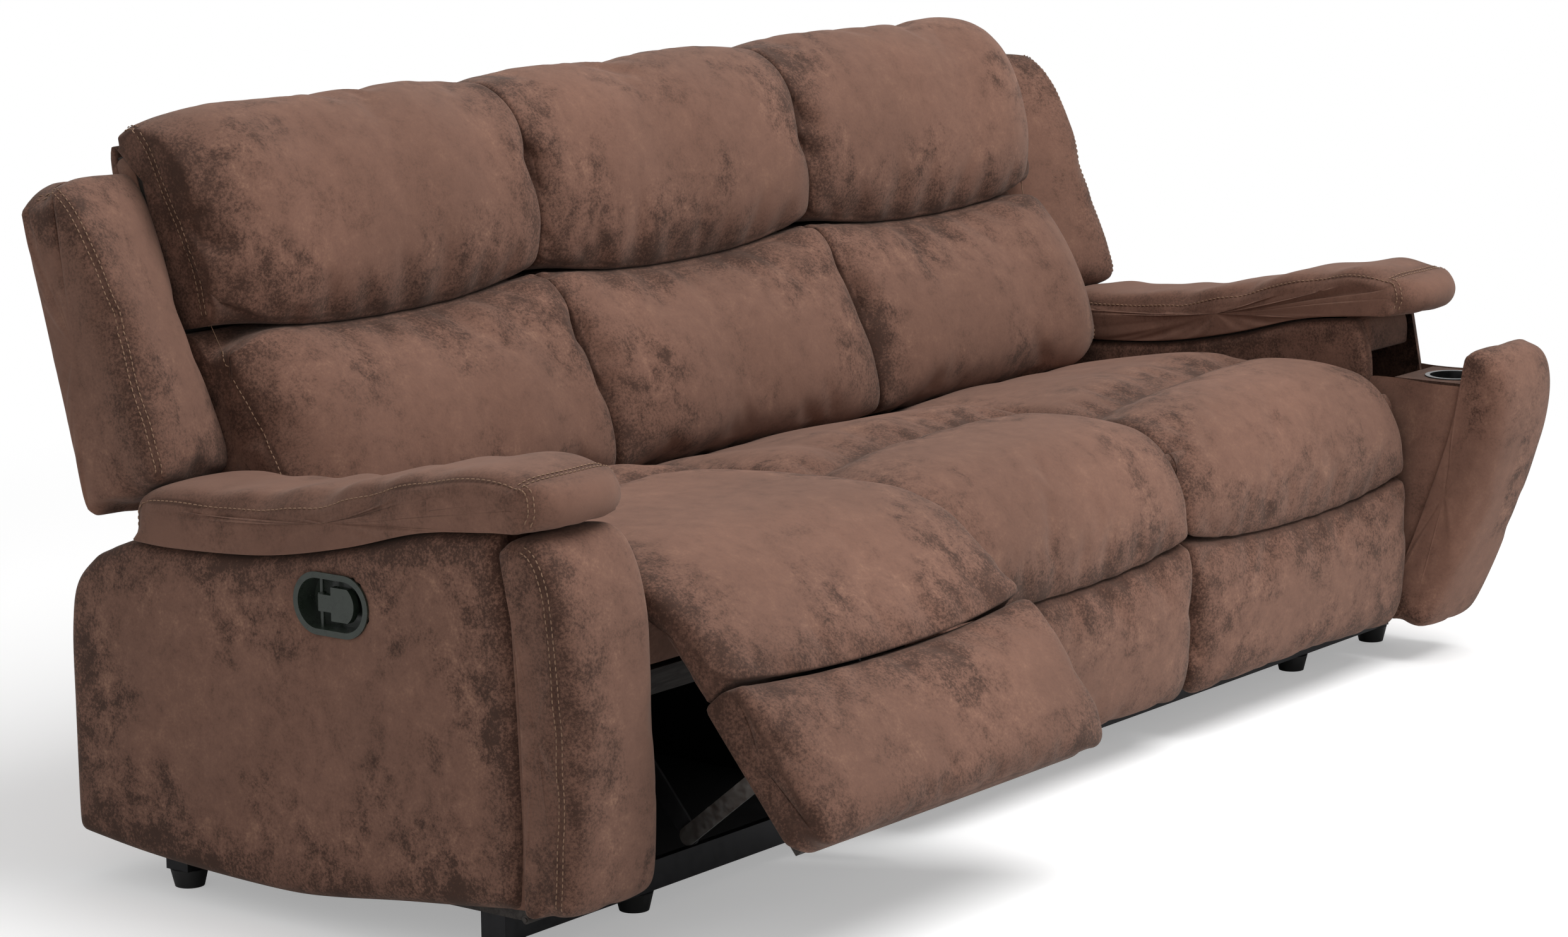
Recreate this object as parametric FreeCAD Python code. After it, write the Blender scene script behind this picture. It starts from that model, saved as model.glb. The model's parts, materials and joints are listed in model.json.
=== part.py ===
import FreeCAD, Part
import math
import os

V = FreeCAD.Vector

# Three-seat reclining sofa with a footrest and a reclining back at each end,
# and a tilt-out console in the front of each arm. Millimetres, +Z up, front towards -Y.
# The origin is on the floor under the centre foot.

# Overall sizes
SEAT_PITCH = 648.0         # width of one seat
SEAT_GAP = 4.0             # between the cushions of neighbouring seats
ARM_GAP = 3.0              # between a seat and the arm beside it
ARM_WIDTH = 180.0
ARM_LENGTH = 867.0         # front face of the arm to its rear
FRONT = -480.0             # front face of the arms, from the centre foot
FIT = 0.3                  # clearance between pieces that lie on each other and move

# Heights above the floor
FOOT_HEIGHT = 25.0
RAIL_HEIGHT = 40.0
PANEL_FOOT = 79.0          # lower edge of the front panels and consoles
SEAM_HEIGHT = 311.0        # seam between the seat and the front panel
DECK_HEIGHT = 333.0        # top of the wooden seat frame
LIP_HEIGHT = 455.0         # where the knee pad parts from the cushion
SEAT_HEIGHT = 492.0        # crown of the seat cushion

# Depths from the front of the arms
SEAM_DEPTH = 21.0
LIP_DEPTH = 59.0
PAD_BACK = 84.0            # rear face of the front panels' padding
CUSHION_REAR = 690.0
FRONT_RAIL = 150.0         # centre of the front cross rail
REAR_RAIL = 710.0

# Thicknesses
BOARD = 12.0
PLATE = 4.0
RAIL_WIDTH = 40.0
FRAME_HEIGHT = 33.0
FRAME_WIDTH = 25.0
STRAP = 1.6
SEAT_CROWN = 24.0          # how far the cushion falls from its crown to its side seams

# Back, measured in its own plane: up along it, and forward from its rear line
BACK_TILT = 15.0
BACK_DEPTH = 783.0
BACK_FOOT = 330.0
BACK_LENGTH = 690.0
BACK_SEAM = 390.0          # seam between the lumbar and the head cushion
FRAME_BACK = 18.0
FRAME_FRONT = 58.0
LUMBAR_DEPTH = 236.0
HEAD_DEPTH = 190.0
BACK_CROWN = 26.0

# Footrest motion, as depth and height at the closed pose, and degrees from closed
KNEE_AXIS = (9.0, 489.0)
FOOTREST_SHARE = 0.75      # turn of the footrest for each degree of the knee pad
KNEE_PHOTO = 52.0          # how far the left footrest is open
CRANK_AXIS = (148.7, DECK_HEIGHT - 34.0)
CRANK_LENGTH = 214.2
CRANK_ANGLE = -71.8
CRANK_SHARE = 1.12
LINK_LENGTH = 156.6
LINK_ANGLE = 128.6
LINK_SHARE = 0.239
TUBE_RADIUS = 10.0
PIN_RADIUS = 5.0
RUN_CLEARANCE = 0.08       # round a pin that turns
LINK_SIDE = 241.0          # inner face of the cranks, from the middle of the seat
LINK_STEP = 6.0
CRANK_NOTCH = 4.0          # side clearance of a crank in the frame's notch
PLATE_SIDE = 262.0         # inner face of the mechanism's side plates

# Recline motion
RECLINE_AXIS = (705.0, 285.0)
RECLINE_PIN = 8.0
STAND_SIDE = 294.0

# Console in the front of the arm
CONSOLE_AXIS = (72.0, 73.0)
CONSOLE_TILT = 22.0
TRAY_LEVEL = 465.0         # height of the tray when the console is open
TRAY_REACH = 59.0
CUP_RADIUS = 38.5
CUP_WALL = 2.5
CUP_DEPTH = 50.0
CUP_CENTRE = -14.0

# Release handle in the outer side of the arm
HANDLE_DEPTH = 378.0
HANDLE_HEIGHT = 437.0
HANDLE_LENGTH = 118.0
HANDLE_WIDTH = 72.0
HANDLE_RECESS = 29.0
HANDLE_LIP = 5.0
LIP_THICK = 3.0
PADDLE_THICK = 10.0
CABLE_RADIUS = 3.0
CABLE_BEND = 45.0

# Values worked out from those above
HALF = SEAT_PITCH / 2 - SEAT_GAP / 2
RAIL_TOP = FOOT_HEIGHT + RAIL_HEIGHT
ARM_IN = 1.5 * SEAT_PITCH + ARM_GAP
ARM_OUT = ARM_IN + ARM_WIDTH
PANEL = 18.0               # inner arm panel
SHELL = 27.0               # outer arm panel
CORE_IN = ARM_IN + PANEL
CORE_OUT = ARM_OUT - SHELL
FRAME_FOOT = DECK_HEIGHT - FRAME_HEIGHT
SIN = math.sin(math.radians(BACK_TILT))
COS = math.cos(math.radians(BACK_TILT))


def seat_plane(depth, height):
    return FRONT + depth, height


def back_plane(up, forward):
    depth = BACK_DEPTH + up * SIN - forward * COS
    return FRONT + depth, BACK_FOOT + up * COS + forward * SIN


def wire(x, path, plane=seat_plane):
    """A closed outline: a pair is a straight edge's end, and two pairs an arc's middle and end."""
    def point(pair):
        y, z = plane(*pair)
        return V(x, y, z)
    edges = []
    here = path[0]
    for step in path[1:]:
        if isinstance(step[0], tuple):
            edges.append(Part.Arc(point(here), point(step[0]), point(step[1])).toShape())
            here = step[1]
        else:
            edges.append(Part.LineSegment(point(here), point(step)).toShape())
            here = step
    if math.dist(here, path[0]) > 1e-6:
        edges.append(Part.LineSegment(point(here), point(path[0])).toShape())
    return Part.Wire(edges)


def slab(x0, x1, path, plane=seat_plane):
    return Part.Face(wire(x0, path, plane)).extrude(V(x1 - x0, 0, 0))


def block(x0, x1, low, high, plane=seat_plane):
    return slab(x0, x1, [low, (high[0], low[1]), high, (low[0], high[1])], plane)


def soft(x0, x1, profile, plane=seat_plane):
    """A padded form: full across its middle and drawn in towards both side seams."""
    shares = (0.0, 0.05, 0.18, 0.5, 0.82, 0.95, 1.0)
    wires = []
    for share in shares:
        fullness = math.sqrt(1 - abs(2 * share - 1) ** 4)
        wires.append(wire(x0 + (x1 - x0) * share, profile(fullness), plane))
    return Part.makeLoft(wires, True, False)


def rod(radius, x0, x1, centre, plane=seat_plane):
    y, z = plane(*centre)
    return Part.makeCylinder(radius, x1 - x0, V(x0, y, z), V(1, 0, 0))


def post(radius, z0, z1, x, depth, top_radius=None):
    base = V(x, FRONT + depth, z0)
    if top_radius:
        return Part.makeCone(radius, top_radius, z1 - z0, base, V(0, 0, 1))
    return Part.makeCylinder(radius, z1 - z0, base, V(0, 0, 1))


def group(*solids):
    return Part.makeCompound([s for item in solids for s in (item if isinstance(item, list) else [item])])


def turned(depth, height, axis, degrees):
    """A point turned about an axis; positive degrees swing a hanging point forward."""
    a = math.radians(degrees)
    back = depth - axis[0]
    down = axis[1] - height
    return (axis[0] + back * math.cos(a) - down * math.sin(a),
            axis[1] - back * math.sin(a) - down * math.cos(a))


def swing(shape, axis, degrees):
    """The shape turned about a cross axis, as a hanging flap swings forward."""
    moved = shape.copy()
    y, z = seat_plane(*axis)
    moved.rotate(V(0, y, z), V(-1, 0, 0), degrees)
    return moved


def polar(start, length, degrees):
    a = math.radians(degrees)
    return start[0] + length * math.cos(a), start[1] + length * math.sin(a)


ELBOW = polar(CRANK_AXIS, CRANK_LENGTH, CRANK_ANGLE)
LINK_END = polar(ELBOW, LINK_LENGTH, LINK_ANGLE)


# Seats

def lip_line(height):
    """Depth of the parting face between cushion and knee pad."""
    slope = (PAD_BACK + 8 - LIP_DEPTH) / (LIP_HEIGHT - SEAM_HEIGHT)
    return LIP_DEPTH + (LIP_HEIGHT - height) * slope


def seat_top(fullness):
    top = SEAT_HEIGHT - SEAT_CROWN * (1 - fullness)
    lip_mid = (top + LIP_HEIGHT) / 2 + 4
    return [
        (CUSHION_REAR, DECK_HEIGHT + 2),
        (CUSHION_REAR, top - 80),
        ((CUSHION_REAR - 145, top - 41), (400, top - 14)),
        ((250, top - 1), (LIP_DEPTH + 56, top - 6)),
        ((LIP_DEPTH + 27, lip_mid), (LIP_DEPTH, LIP_HEIGHT)),
    ]


def knee_front(fullness):
    bulge = 6 * fullness
    return [
        ((SEAM_DEPTH + 8 - bulge, 403), (SEAM_DEPTH - bulge * 0.7, SEAM_HEIGHT + 24)),
        ((SEAM_DEPTH + 3, SEAM_HEIGHT + 11), (SEAM_DEPTH + 21, SEAM_HEIGHT + 7)),
    ]


def end_cushion(fullness):
    return seat_top(fullness) + [(lip_line(DECK_HEIGHT + 2), DECK_HEIGHT + 2)]


def middle_cushion(fullness):
    shelf = [(PAD_BACK + 8, SEAM_HEIGHT + 7), (PAD_BACK + 8, DECK_HEIGHT + 2)]
    return seat_top(fullness) + knee_front(fullness) + shelf


def knee_pad(fullness):
    tip = (lip_line(LIP_HEIGHT - 3) - 1, LIP_HEIGHT - 3)
    heel = SEAM_HEIGHT + 31
    return [tip] + knee_front(fullness) + [(lip_line(heel) - 1, heel)]


def front_pad(fullness):
    bulge = 5 * fullness
    top = SEAM_HEIGHT - 2
    return [
        (SEAM_DEPTH + 21, top),
        ((SEAM_DEPTH + 2 - bulge * 0.4, top - 6), (SEAM_DEPTH - 4 - bulge * 0.8, top - 29)),
        ((SEAM_DEPTH - 6 - bulge, 195), (SEAM_DEPTH + 3 - bulge, PANEL_FOOT + 19)),
        ((SEAM_DEPTH + 9 - bulge * 0.4, PANEL_FOOT + 4), (SEAM_DEPTH + 27, PANEL_FOOT)),
        (PAD_BACK, PANEL_FOOT),
        (PAD_BACK, top),
    ]


def seat_frame(x):
    side = HALF - 22
    low = FRAME_FOOT
    front = block(x - side, x + side, (100, low), (100 + FRAME_WIDTH, DECK_HEIGHT))
    for way in (-1, 1):
        a, b = sorted((x + way * (LINK_SIDE - CRANK_NOTCH), x + way * (LINK_SIDE + PLATE + CRANK_NOTCH)))
        front = front.cut(block(a, b, (99, low - 1), (101 + FRAME_WIDTH, low + 17)))
    rails = [
        front,
        block(x - side, x + side, (640, low), (670, DECK_HEIGHT)),
        block(x - side, x - side + FRAME_WIDTH, (100 + FRAME_WIDTH, low), (640, DECK_HEIGHT)),
        block(x + side - FRAME_WIDTH, x + side, (100 + FRAME_WIDTH, low), (640, DECK_HEIGHT)),
    ]
    straps = []
    for depth in (150, 235, 320, 405, 490, 575):
        top = DECK_HEIGHT + STRAP
        straps.append(block(x - side, x + side, (depth, DECK_HEIGHT), (depth + 50, top)))
    return rails + straps


def mechanism_plates(x):
    y, z = seat_plane(*CRANK_AXIS)
    plates = []
    for side in (-1, 1):
        a, b = sorted((x + side * PLATE_SIDE, x + side * (PLATE_SIDE + PLATE)))
        plate = slab(a, b, [
            (CRANK_AXIS[0] - 30, FRAME_FOOT), (640, FRAME_FOOT), (640, 250),
            (560, RAIL_TOP + FIT), (250, RAIL_TOP + FIT), (175, 200), (CRANK_AXIS[0] - 30, 272)])
        hole = Part.makeCylinder(TUBE_RADIUS + RUN_CLEARANCE, PLATE * 3, V(a - PLATE, y, z), V(1, 0, 0))
        plates.append(plate.cut(hole))
        ear = block(*sorted((x + side * (PLATE_SIDE + PLATE), x + side * (HALF - 22))),
                    (200, FRAME_FOOT - PLATE), (600, FRAME_FOOT))
        plates.append(ear)
    return plates


def bar(x0, x1, start, end, width, holes=(), hole_radius=0.0):
    """A flat link with round ends."""
    away = V(0, end[0] - start[0], end[1] - start[1])
    side = V(0, -away.z, away.y)
    side.normalize()
    a = V(x0, *seat_plane(*start))
    b = V(x0, *seat_plane(*end))
    radius = width / 2
    corners = [a + side * radius, b + side * radius, b - side * radius, a - side * radius]
    middle = Part.Face(Part.makePolygon(corners + corners[:1])).extrude(V(x1 - x0, 0, 0))
    link = middle.fuse([rod(radius, x0, x1, start), rod(radius, x0, x1, end)]).removeSplitter()
    for centre in holes:
        link = link.cut(rod(hole_radius, x0 - 1, x1 + 1, centre))
    return link


def drive_crank(x):
    reach = PLATE_SIDE + PLATE + 4
    crank = rod(TUBE_RADIUS, x - reach, x + reach, CRANK_AXIS)
    for side in (-1, 1):
        a, b = sorted((x + side * LINK_SIDE, x + side * (LINK_SIDE + PLATE)))
        crank = crank.fuse(bar(a, b, CRANK_AXIS, ELBOW, 26, [ELBOW], PIN_RADIUS + RUN_CLEARANCE))
    return crank


def extension_links(x):
    links = []
    for side in (-1, 1):
        inner = LINK_SIDE + LINK_STEP
        a, b = sorted((x + side * inner, x + side * (inner + PLATE)))
        link = bar(a, b, ELBOW, LINK_END, 24, [LINK_END], PIN_RADIUS)
        p, q = sorted((x + side * (LINK_SIDE - 2), x + side * (inner + PLATE)))
        links.append(link.fuse(rod(PIN_RADIUS, p, q, ELBOW)))
    return links


def footrest_board(x):
    back = PAD_BACK + FIT + BOARD
    side = HALF - 22
    pieces = [block(x - side, x + side, (PAD_BACK + FIT, PANEL_FOOT + 16), (back, SEAM_HEIGHT - 8))]
    for way in (-1, 1):
        inner = LINK_SIDE + LINK_STEP + PLATE + FIT
        a, b = sorted((x + way * inner, x + way * (inner + PLATE)))
        ear = slab(a, b, [(back, 185), (back, 252), (LINK_END[0] + 12, LINK_END[1] + 12),
                          (LINK_END[0] + 12, LINK_END[1] - 12)])
        pieces.append(ear.cut(rod(PIN_RADIUS, a - 1, b + 1, LINK_END)))
    return pieces


# Back

def lumbar(fullness):
    fall = BACK_CROWN * (1 - fullness)
    top = BACK_SEAM - 2
    depth = LUMBAR_DEPTH - fall
    return [
        (62, FRAME_FRONT + FIT),
        (62, depth - 40),
        ((70, depth - 10), (108, depth)),
        ((235, depth - 4), (350, depth - 46)),
        ((top - 10, depth - 64), (top, depth - 90)),
        (top, FRAME_FRONT + FIT),
    ]


def head(fullness):
    fall = BACK_CROWN * (1 - fullness)
    foot = BACK_SEAM + 2
    depth = HEAD_DEPTH - fall
    top = BACK_LENGTH - fall * 0.25
    return [
        (foot, FRAME_FRONT + FIT),
        (foot, depth - 44),
        ((foot + 10, depth - 24), (foot + 38, depth - 12)),
        ((530, depth), (612, depth - 20)),
        ((BACK_LENGTH - 24, depth - 62), (top, FRAME_FRONT + 14)),
        ((top - 5, FRAME_BACK + 22), (BACK_LENGTH - 24, FRAME_BACK)),
        (BACK_LENGTH - 48, FRAME_BACK),
        (BACK_LENGTH - 48, FRAME_FRONT + FIT),
    ]


def rear_cover(fullness):
    front = FRAME_BACK - FIT
    return [(20, front), (20, 5), ((340, -7 * fullness), (650, 4)), ((658, 6), (664, front))]


def back_frame(x):
    side = HALF - 4
    bars = [
        block(x - side, x - side + FRAME_WIDTH, (60, FRAME_BACK), (BACK_LENGTH - 50, FRAME_FRONT), back_plane),
        block(x + side - FRAME_WIDTH, x + side, (60, FRAME_BACK), (BACK_LENGTH - 50, FRAME_FRONT), back_plane),
    ]
    for low in (60, BACK_SEAM - 20, BACK_LENGTH - 90):
        bars.append(block(x - side + FRAME_WIDTH, x + side - FRAME_WIDTH,
                          (low, FRAME_BACK), (low + 40, FRAME_FRONT), back_plane))
    for way in (-1, 1):
        a, b = sorted((x + way * (side - FRAME_WIDTH), x + way * (side - FRAME_WIDTH - PLATE)))
        bracket = slab(a, b, [(-84, 44), (-84, 84), (-40, 84), (56, FRAME_FRONT), (100, FRAME_FRONT),
                              (100, FRAME_BACK + 6), (60, FRAME_BACK + 6)], back_plane)
        bars.append(bracket.cut(rod(RECLINE_PIN + RUN_CLEARANCE, a - 1, b + 1, RECLINE_AXIS)))
    return bars


def wing(x0, x1):
    """Side wing of a reclining back, from beside the cushions to the outer side."""
    foot_rear = 165.0
    foot_front = 205.0
    top = BACK_LENGTH - 70
    stations = ((0.0, 0, 0), (0.35, 0, 0), (0.7, 0, 0), (0.9, 0, 0), (1.0, 15, 8))
    wires = []
    for share, drawn, lowered in stations:
        low = 112 + 48 * share - drawn
        mid = 78 + 65 * share - drawn
        high = 42 + 48 * share - drawn
        path = [
            (foot_rear + lowered, 4),
            (foot_front - 4 + lowered, low - 12),
            ((foot_front + 2 + lowered, low - 3), (foot_front + 16 + lowered, low)),
            ((410, mid), (top - 22, high)),
            ((top - 6 - lowered, high - 8), (top - lowered, high - 24)),
            (top - lowered, 4),
        ]
        wires.append(wire(x0 + (x1 - x0) * share, path, back_plane))
    return Part.makeLoft(wires, True, False)


# Arms, built for the right side and mirrored for the left

CAP_REAR = ARM_LENGTH - 132
ARM_CORNER = ARM_LENGTH - 55   # where the rear curves in under the cap
FRAME_REAR = ARM_LENGTH - 27
CAP_LINE = [(CAP_REAR, 479), (CAP_REAR - 86, 478), (490, 488), (350, 514), (222, 548), (107, 562)]


def under_cap(drop=0.0):
    return [(depth, height - drop) for depth, height in CAP_LINE]


def inner_panel():
    panel = slab(ARM_IN, CORE_IN, [(96, 70), (FRAME_REAR, 70), (FRAME_REAR, 340), (ARM_CORNER, 436)]
                 + under_cap(2)[:5] + [(120, 558), (96, 486)])
    return panel.cut(rod(CABLE_RADIUS + 5, ARM_IN - 1, CORE_IN + 1, (350, 150)))


def outer_outline(inset):
    """Side outline of the outer panel; inset draws every edge in."""
    k = inset
    return [
        (107 + k, 562 - k),
        ((80 + k, 415), (73 + k, 250)),
        (76 + k, 80 + k),
        ((180, 67 + k), (290, 55 + k)),
        ((470, 34 + k), (670, 43 + k)),
        (FRAME_REAR - k, 55 + k),
        ((ARM_LENGTH - 6 - k, 61 + k), (ARM_LENGTH - k, 82 + k)),
        (ARM_LENGTH - k, 345),
        ((ARM_LENGTH - 11 - k, 412 - k), (ARM_CORNER - k, 450 - k)),
    ] + under_cap(k)[:5]


def outer_panel():
    inner = slab(CORE_OUT, ARM_OUT - 12, outer_outline(0))
    skin = Part.makeLoft([wire(ARM_OUT - 12, outer_outline(0)), wire(ARM_OUT - 5, outer_outline(3)),
                          wire(ARM_OUT, outer_outline(14))], True, False)
    panel = inner.fuse(skin)
    hole = capsule(HANDLE_LENGTH, HANDLE_WIDTH, CORE_OUT - 1, ARM_OUT + 1)
    wrap = slab(CORE_IN, CORE_OUT, [
        (ARM_LENGTH, 75), (ARM_LENGTH, 345), ((ARM_LENGTH - 11, 412), (ARM_CORNER, 450)), (CAP_REAR + 7, 476),
        (CAP_REAR + 7, 464), (ARM_CORNER - 6, 439), ((ARM_LENGTH - 22, 404), (ARM_LENGTH - BOARD, 345)),
        (ARM_LENGTH - BOARD, 75)])
    return [panel.cut(hole), wrap]


def capsule(length, width, x0, x1):
    """A rounded slot through the arm's side, centred on the handle."""
    half = (length - width) / 2
    radius = width / 2
    d, h = HANDLE_DEPTH, HANDLE_HEIGHT
    return slab(x0, x1, [
        (d - half, h - radius), (d + half, h - radius),
        ((d + half + radius, h), (d + half, h + radius)),
        (d - half, h + radius),
        ((d - half - radius, h), (d - half, h - radius))])


def arm_cap(fullness):
    fall = 15 * (1 - fullness)
    draw = 30 * (1 - fullness)
    foot = [(depth, height + FIT) for depth, height in under_cap()]
    return foot + [
        (56 + draw * 0.4, 564),
        ((20 + draw * 0.8, 568 + fall * 0.3), (10 + draw, 592)),
        ((16 + draw, 614 - fall), (48 + draw * 0.6, 625 - fall)),
        ((140, 634 - fall), (290, 604 - fall)),
        ((370, 580 - fall), (450, 565 - fall)),
        ((570, 549 - fall), (CAP_REAR - 35 - draw * 0.3, 544 - fall)),
        ((CAP_REAR - 7 - draw * 0.3, 534 - fall), (CAP_REAR, 505 - fall * 0.5)),
    ]


def shoulder():
    return slab(CORE_IN, CORE_OUT, [(106, 500), (106, 561), (150, 556), (150, 500)])


def arm_frame():
    mid = (CORE_IN + CORE_OUT) / 2
    axis = CONSOLE_AXIS
    solids = [
        block(CORE_IN, CORE_OUT, (108, RAIL_TOP), (FRAME_REAR, RAIL_TOP + 30)),
        block(CORE_IN, CORE_OUT, (axis[0] + 5.5, RAIL_TOP), (108, RAIL_TOP + 30)),
        block(CORE_IN, CORE_OUT, (FRAME_REAR - 25, RAIL_TOP + 30), (FRAME_REAR + 5, 340)),
        block(CORE_IN, CORE_IN + 45, (480, RAIL_TOP + 30), (510, 474)),
    ]
    support = slab(CORE_IN, CORE_OUT, under_cap()[:5] + [(p[0], p[1] - 14) for p in under_cap()[4::-1]])
    solids.append(support)
    pin = rod(3, ARM_IN + 8, ARM_OUT - 8, axis)
    for a, b in ((ARM_IN + 10, mid - 36), (mid + 36, ARM_OUT - 10)):
        leaf = block(max(a, CORE_IN), min(b, CORE_OUT), (axis[0], axis[1] - 3), (axis[0] + 5.5, axis[1] + 3))
        pin = pin.fuse([rod(5.5, a, b, axis), leaf])
    solids.append(pin)
    return solids


POST_REAR = [(66.0, PANEL_FOOT), (66.0, 250.0), (74.0, 415.0), (100.0, 556.0)]


def console_post(fullness):
    draw = 14 * (1 - fullness)
    return POST_REAR[::-1] + [
        (26 + draw * 0.5, PANEL_FOOT),
        ((-4 + draw, PANEL_FOOT + 6), (-13 + draw, 122)),
        ((-20 + draw, 262), (-12 + draw, 402)),
        ((0 + draw, 500), (38 + draw * 0.6, 559)),
    ]


def console_door():
    padding = soft(ARM_IN + 2, ARM_OUT - 2, console_post)
    mid = (CORE_IN + CORE_OUT) / 2
    axis = CONSOLE_AXIS
    knuckle = rod(5.5, mid - 35, mid + 35, axis)
    leaf = block(mid - 35, mid + 35, (28, PANEL_FOOT - 3), (axis[0], PANEL_FOOT))
    hole = rod(3 + RUN_CLEARANCE, mid - 36, mid + 36, axis)
    return [padding, knuckle.fuse(leaf).cut(hole)]


def tray():
    """Tray in the open pose, swung back into the closed one."""
    axis = CONSOLE_AXIS
    rear = [turned(d + FIT, h, axis, -CONSOLE_TILT) for d, h in POST_REAR]
    def on_rear(height):
        for low, high in zip(rear, rear[1:]):
            if low[1] <= height <= high[1]:
                return low[0] + (high[0] - low[0]) * (height - low[1]) / (high[1] - low[1])
        return rear[-1][0]
    foot = 300.0
    front_top = (on_rear(TRAY_LEVEL), TRAY_LEVEL)
    front_low = (on_rear(foot), foot)
    knee = rear[2]
    arc = ((TRAY_REACH - 42, TRAY_LEVEL - 88), front_low)
    outline = [front_low, knee, front_top, (TRAY_REACH, TRAY_LEVEL), arc]
    a, b = CORE_IN + 4, CORE_OUT - 4
    cheeks = [slab(a, a + 9, outline), slab(b - 9, b, outline)]
    floor_line = TRAY_LEVEL - BOARD
    top = slab(a + 9, b - 9, [(on_rear(floor_line), floor_line), front_top,
                              (TRAY_REACH, TRAY_LEVEL), (TRAY_REACH - 7, floor_line)])
    mid = (CORE_IN + CORE_OUT) / 2
    well = post(CUP_RADIUS + CUP_WALL, floor_line - 1, TRAY_LEVEL + 1, mid, CUP_CENTRE)
    return cheeks + [top.cut(well)]


def cup_holder():
    mid = (CORE_IN + CORE_OUT) / 2
    outer = post(CUP_RADIUS + CUP_WALL, TRAY_LEVEL - CUP_DEPTH - CUP_WALL, TRAY_LEVEL, mid, CUP_CENTRE)
    rim = post(CUP_RADIUS + CUP_WALL + 5, TRAY_LEVEL, TRAY_LEVEL + 2, mid, CUP_CENTRE)
    well = post(CUP_RADIUS, TRAY_LEVEL - CUP_DEPTH, TRAY_LEVEL + 3, mid, CUP_CENTRE)
    return outer.fuse(rim).cut(well)


def handle_bezel():
    back = ARM_OUT - HANDLE_RECESS
    wall = 3.0
    lip = capsule(HANDLE_LENGTH + 2 * HANDLE_LIP, HANDLE_WIDTH + 2 * HANDLE_LIP, ARM_OUT, ARM_OUT + LIP_THICK)
    cup = capsule(HANDLE_LENGTH, HANDLE_WIDTH, back - wall, ARM_OUT)
    hollow = capsule(HANDLE_LENGTH - 2 * wall, HANDLE_WIDTH - 2 * wall, back, ARM_OUT + LIP_THICK + 1)
    pin_length = HANDLE_WIDTH - 2 * wall
    hinge = paddle_axis()
    pin = Part.makeCylinder(3, pin_length, V(hinge[0], hinge[1], HANDLE_HEIGHT - pin_length / 2))
    return lip.fuse(cup).cut(hollow).fuse(pin)


def paddle_axis():
    return ARM_OUT - 11.0, FRONT + HANDLE_DEPTH + 26


def release_paddle():
    x1 = ARM_OUT - 3
    x0 = x1 - PADDLE_THICK
    d, h = HANDLE_DEPTH, HANDLE_HEIGHT
    body = slab(x0, x1, [(d - 24, h - 22), (d + 4, h - 22), (d + 4, h - 11), (d + 26, h - 11), (d + 26, h + 11),
                         (d + 4, h + 11), (d + 4, h + 22), (d - 24, h + 22), ((d - 35, h), (d - 24, h - 22))])
    x, y = paddle_axis()
    barrel = Part.makeCylinder(5.5, 24, V(x, y, h - 12))
    hole = Part.makeCylinder(3 + RUN_CLEARANCE, 60, V(x, y, h - 30))
    return body.fuse(barrel).cut(hole)


def release_cable():
    """Inner cable sleeve from the handle down to the mechanism, in straight runs and tangent arcs."""
    x_turn = (CORE_IN + CORE_OUT) / 2
    points = [
        V(ARM_OUT - HANDLE_RECESS - 3, FRONT + 400, HANDLE_HEIGHT),
        V(x_turn, FRONT + 400, HANDLE_HEIGHT),
        V(x_turn, FRONT + 350, 150),
        V(ARM_IN - 30, FRONT + 350, 150),
    ]
    edges = []
    here = points[0]
    for before, corner, after in zip(points, points[1:], points[2:]):
        u = (before - corner).normalize()
        w = (after - corner).normalize()
        half = u.getAngle(w) / 2
        reach = min(CABLE_BEND / math.tan(half), (before - corner).Length * 0.7)
        start = corner + u * reach
        end = corner + w * reach
        radius = reach * math.tan(half)
        centre = corner + (u + w).normalize() * (radius / math.sin(half))
        middle = centre + (corner - centre).normalize() * radius
        edges.append(Part.LineSegment(here, start).toShape())
        edges.append(Part.Arc(start, middle, end).toShape())
        here = end
    edges.append(Part.LineSegment(here, points[-1]).toShape())
    path = Part.Wire(edges)
    ring = Part.Wire(Part.makeCircle(CABLE_RADIUS, points[0], V(1, 0, 0)))
    return path.makePipeShell([ring], True, True)


# Base

def base_rails():
    wide = ARM_OUT - 37
    low, high = FOOT_HEIGHT, RAIL_TOP
    half = RAIL_WIDTH / 2
    front_edge = FRONT_RAIL + half
    rear_edge = REAR_RAIL - half
    solids = [
        block(-wide, wide, (FRONT_RAIL - half, low), (front_edge, high)),
        block(-wide, wide, (rear_edge, low), (REAR_RAIL + half, high)),
        block(-half, half, (front_edge, low), (rear_edge, high)),
    ]
    for x in (-SEAT_PITCH, SEAT_PITCH):
        for way in (-1, 1):
            a, b = sorted((x + way * (PLATE_SIDE - 13), x + way * (PLATE_SIDE + 17)))
            solids.append(block(a, b, (front_edge, low), (rear_edge, high)))
    for x in (-SEAT_PITCH, 0, SEAT_PITCH):
        for way in (-1, 1):
            a, b = sorted((x + way * STAND_SIDE, x + way * (STAND_SIDE + PLATE)))
            stand = slab(a, b, [(688, high), (728, high), (720, 300), (690, 300)])
            p, q = sorted((x + way * (STAND_SIDE - 9), x + way * (STAND_SIDE + PLATE)))
            solids.append(stand.fuse(rod(RECLINE_PIN, p, q, RECLINE_AXIS)))
    return solids


def feet():
    solids = []
    for depth in (FRONT_RAIL, REAR_RAIL):
        for x in (232, 838, ARM_OUT - 60):
            for way in (-1, 1):
                solids.append(post(20, 0, FOOT_HEIGHT, way * x, depth, 26))
    solids.append(post(20, 0, FOOT_HEIGHT, 0, -FRONT, 26))
    return solids


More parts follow.
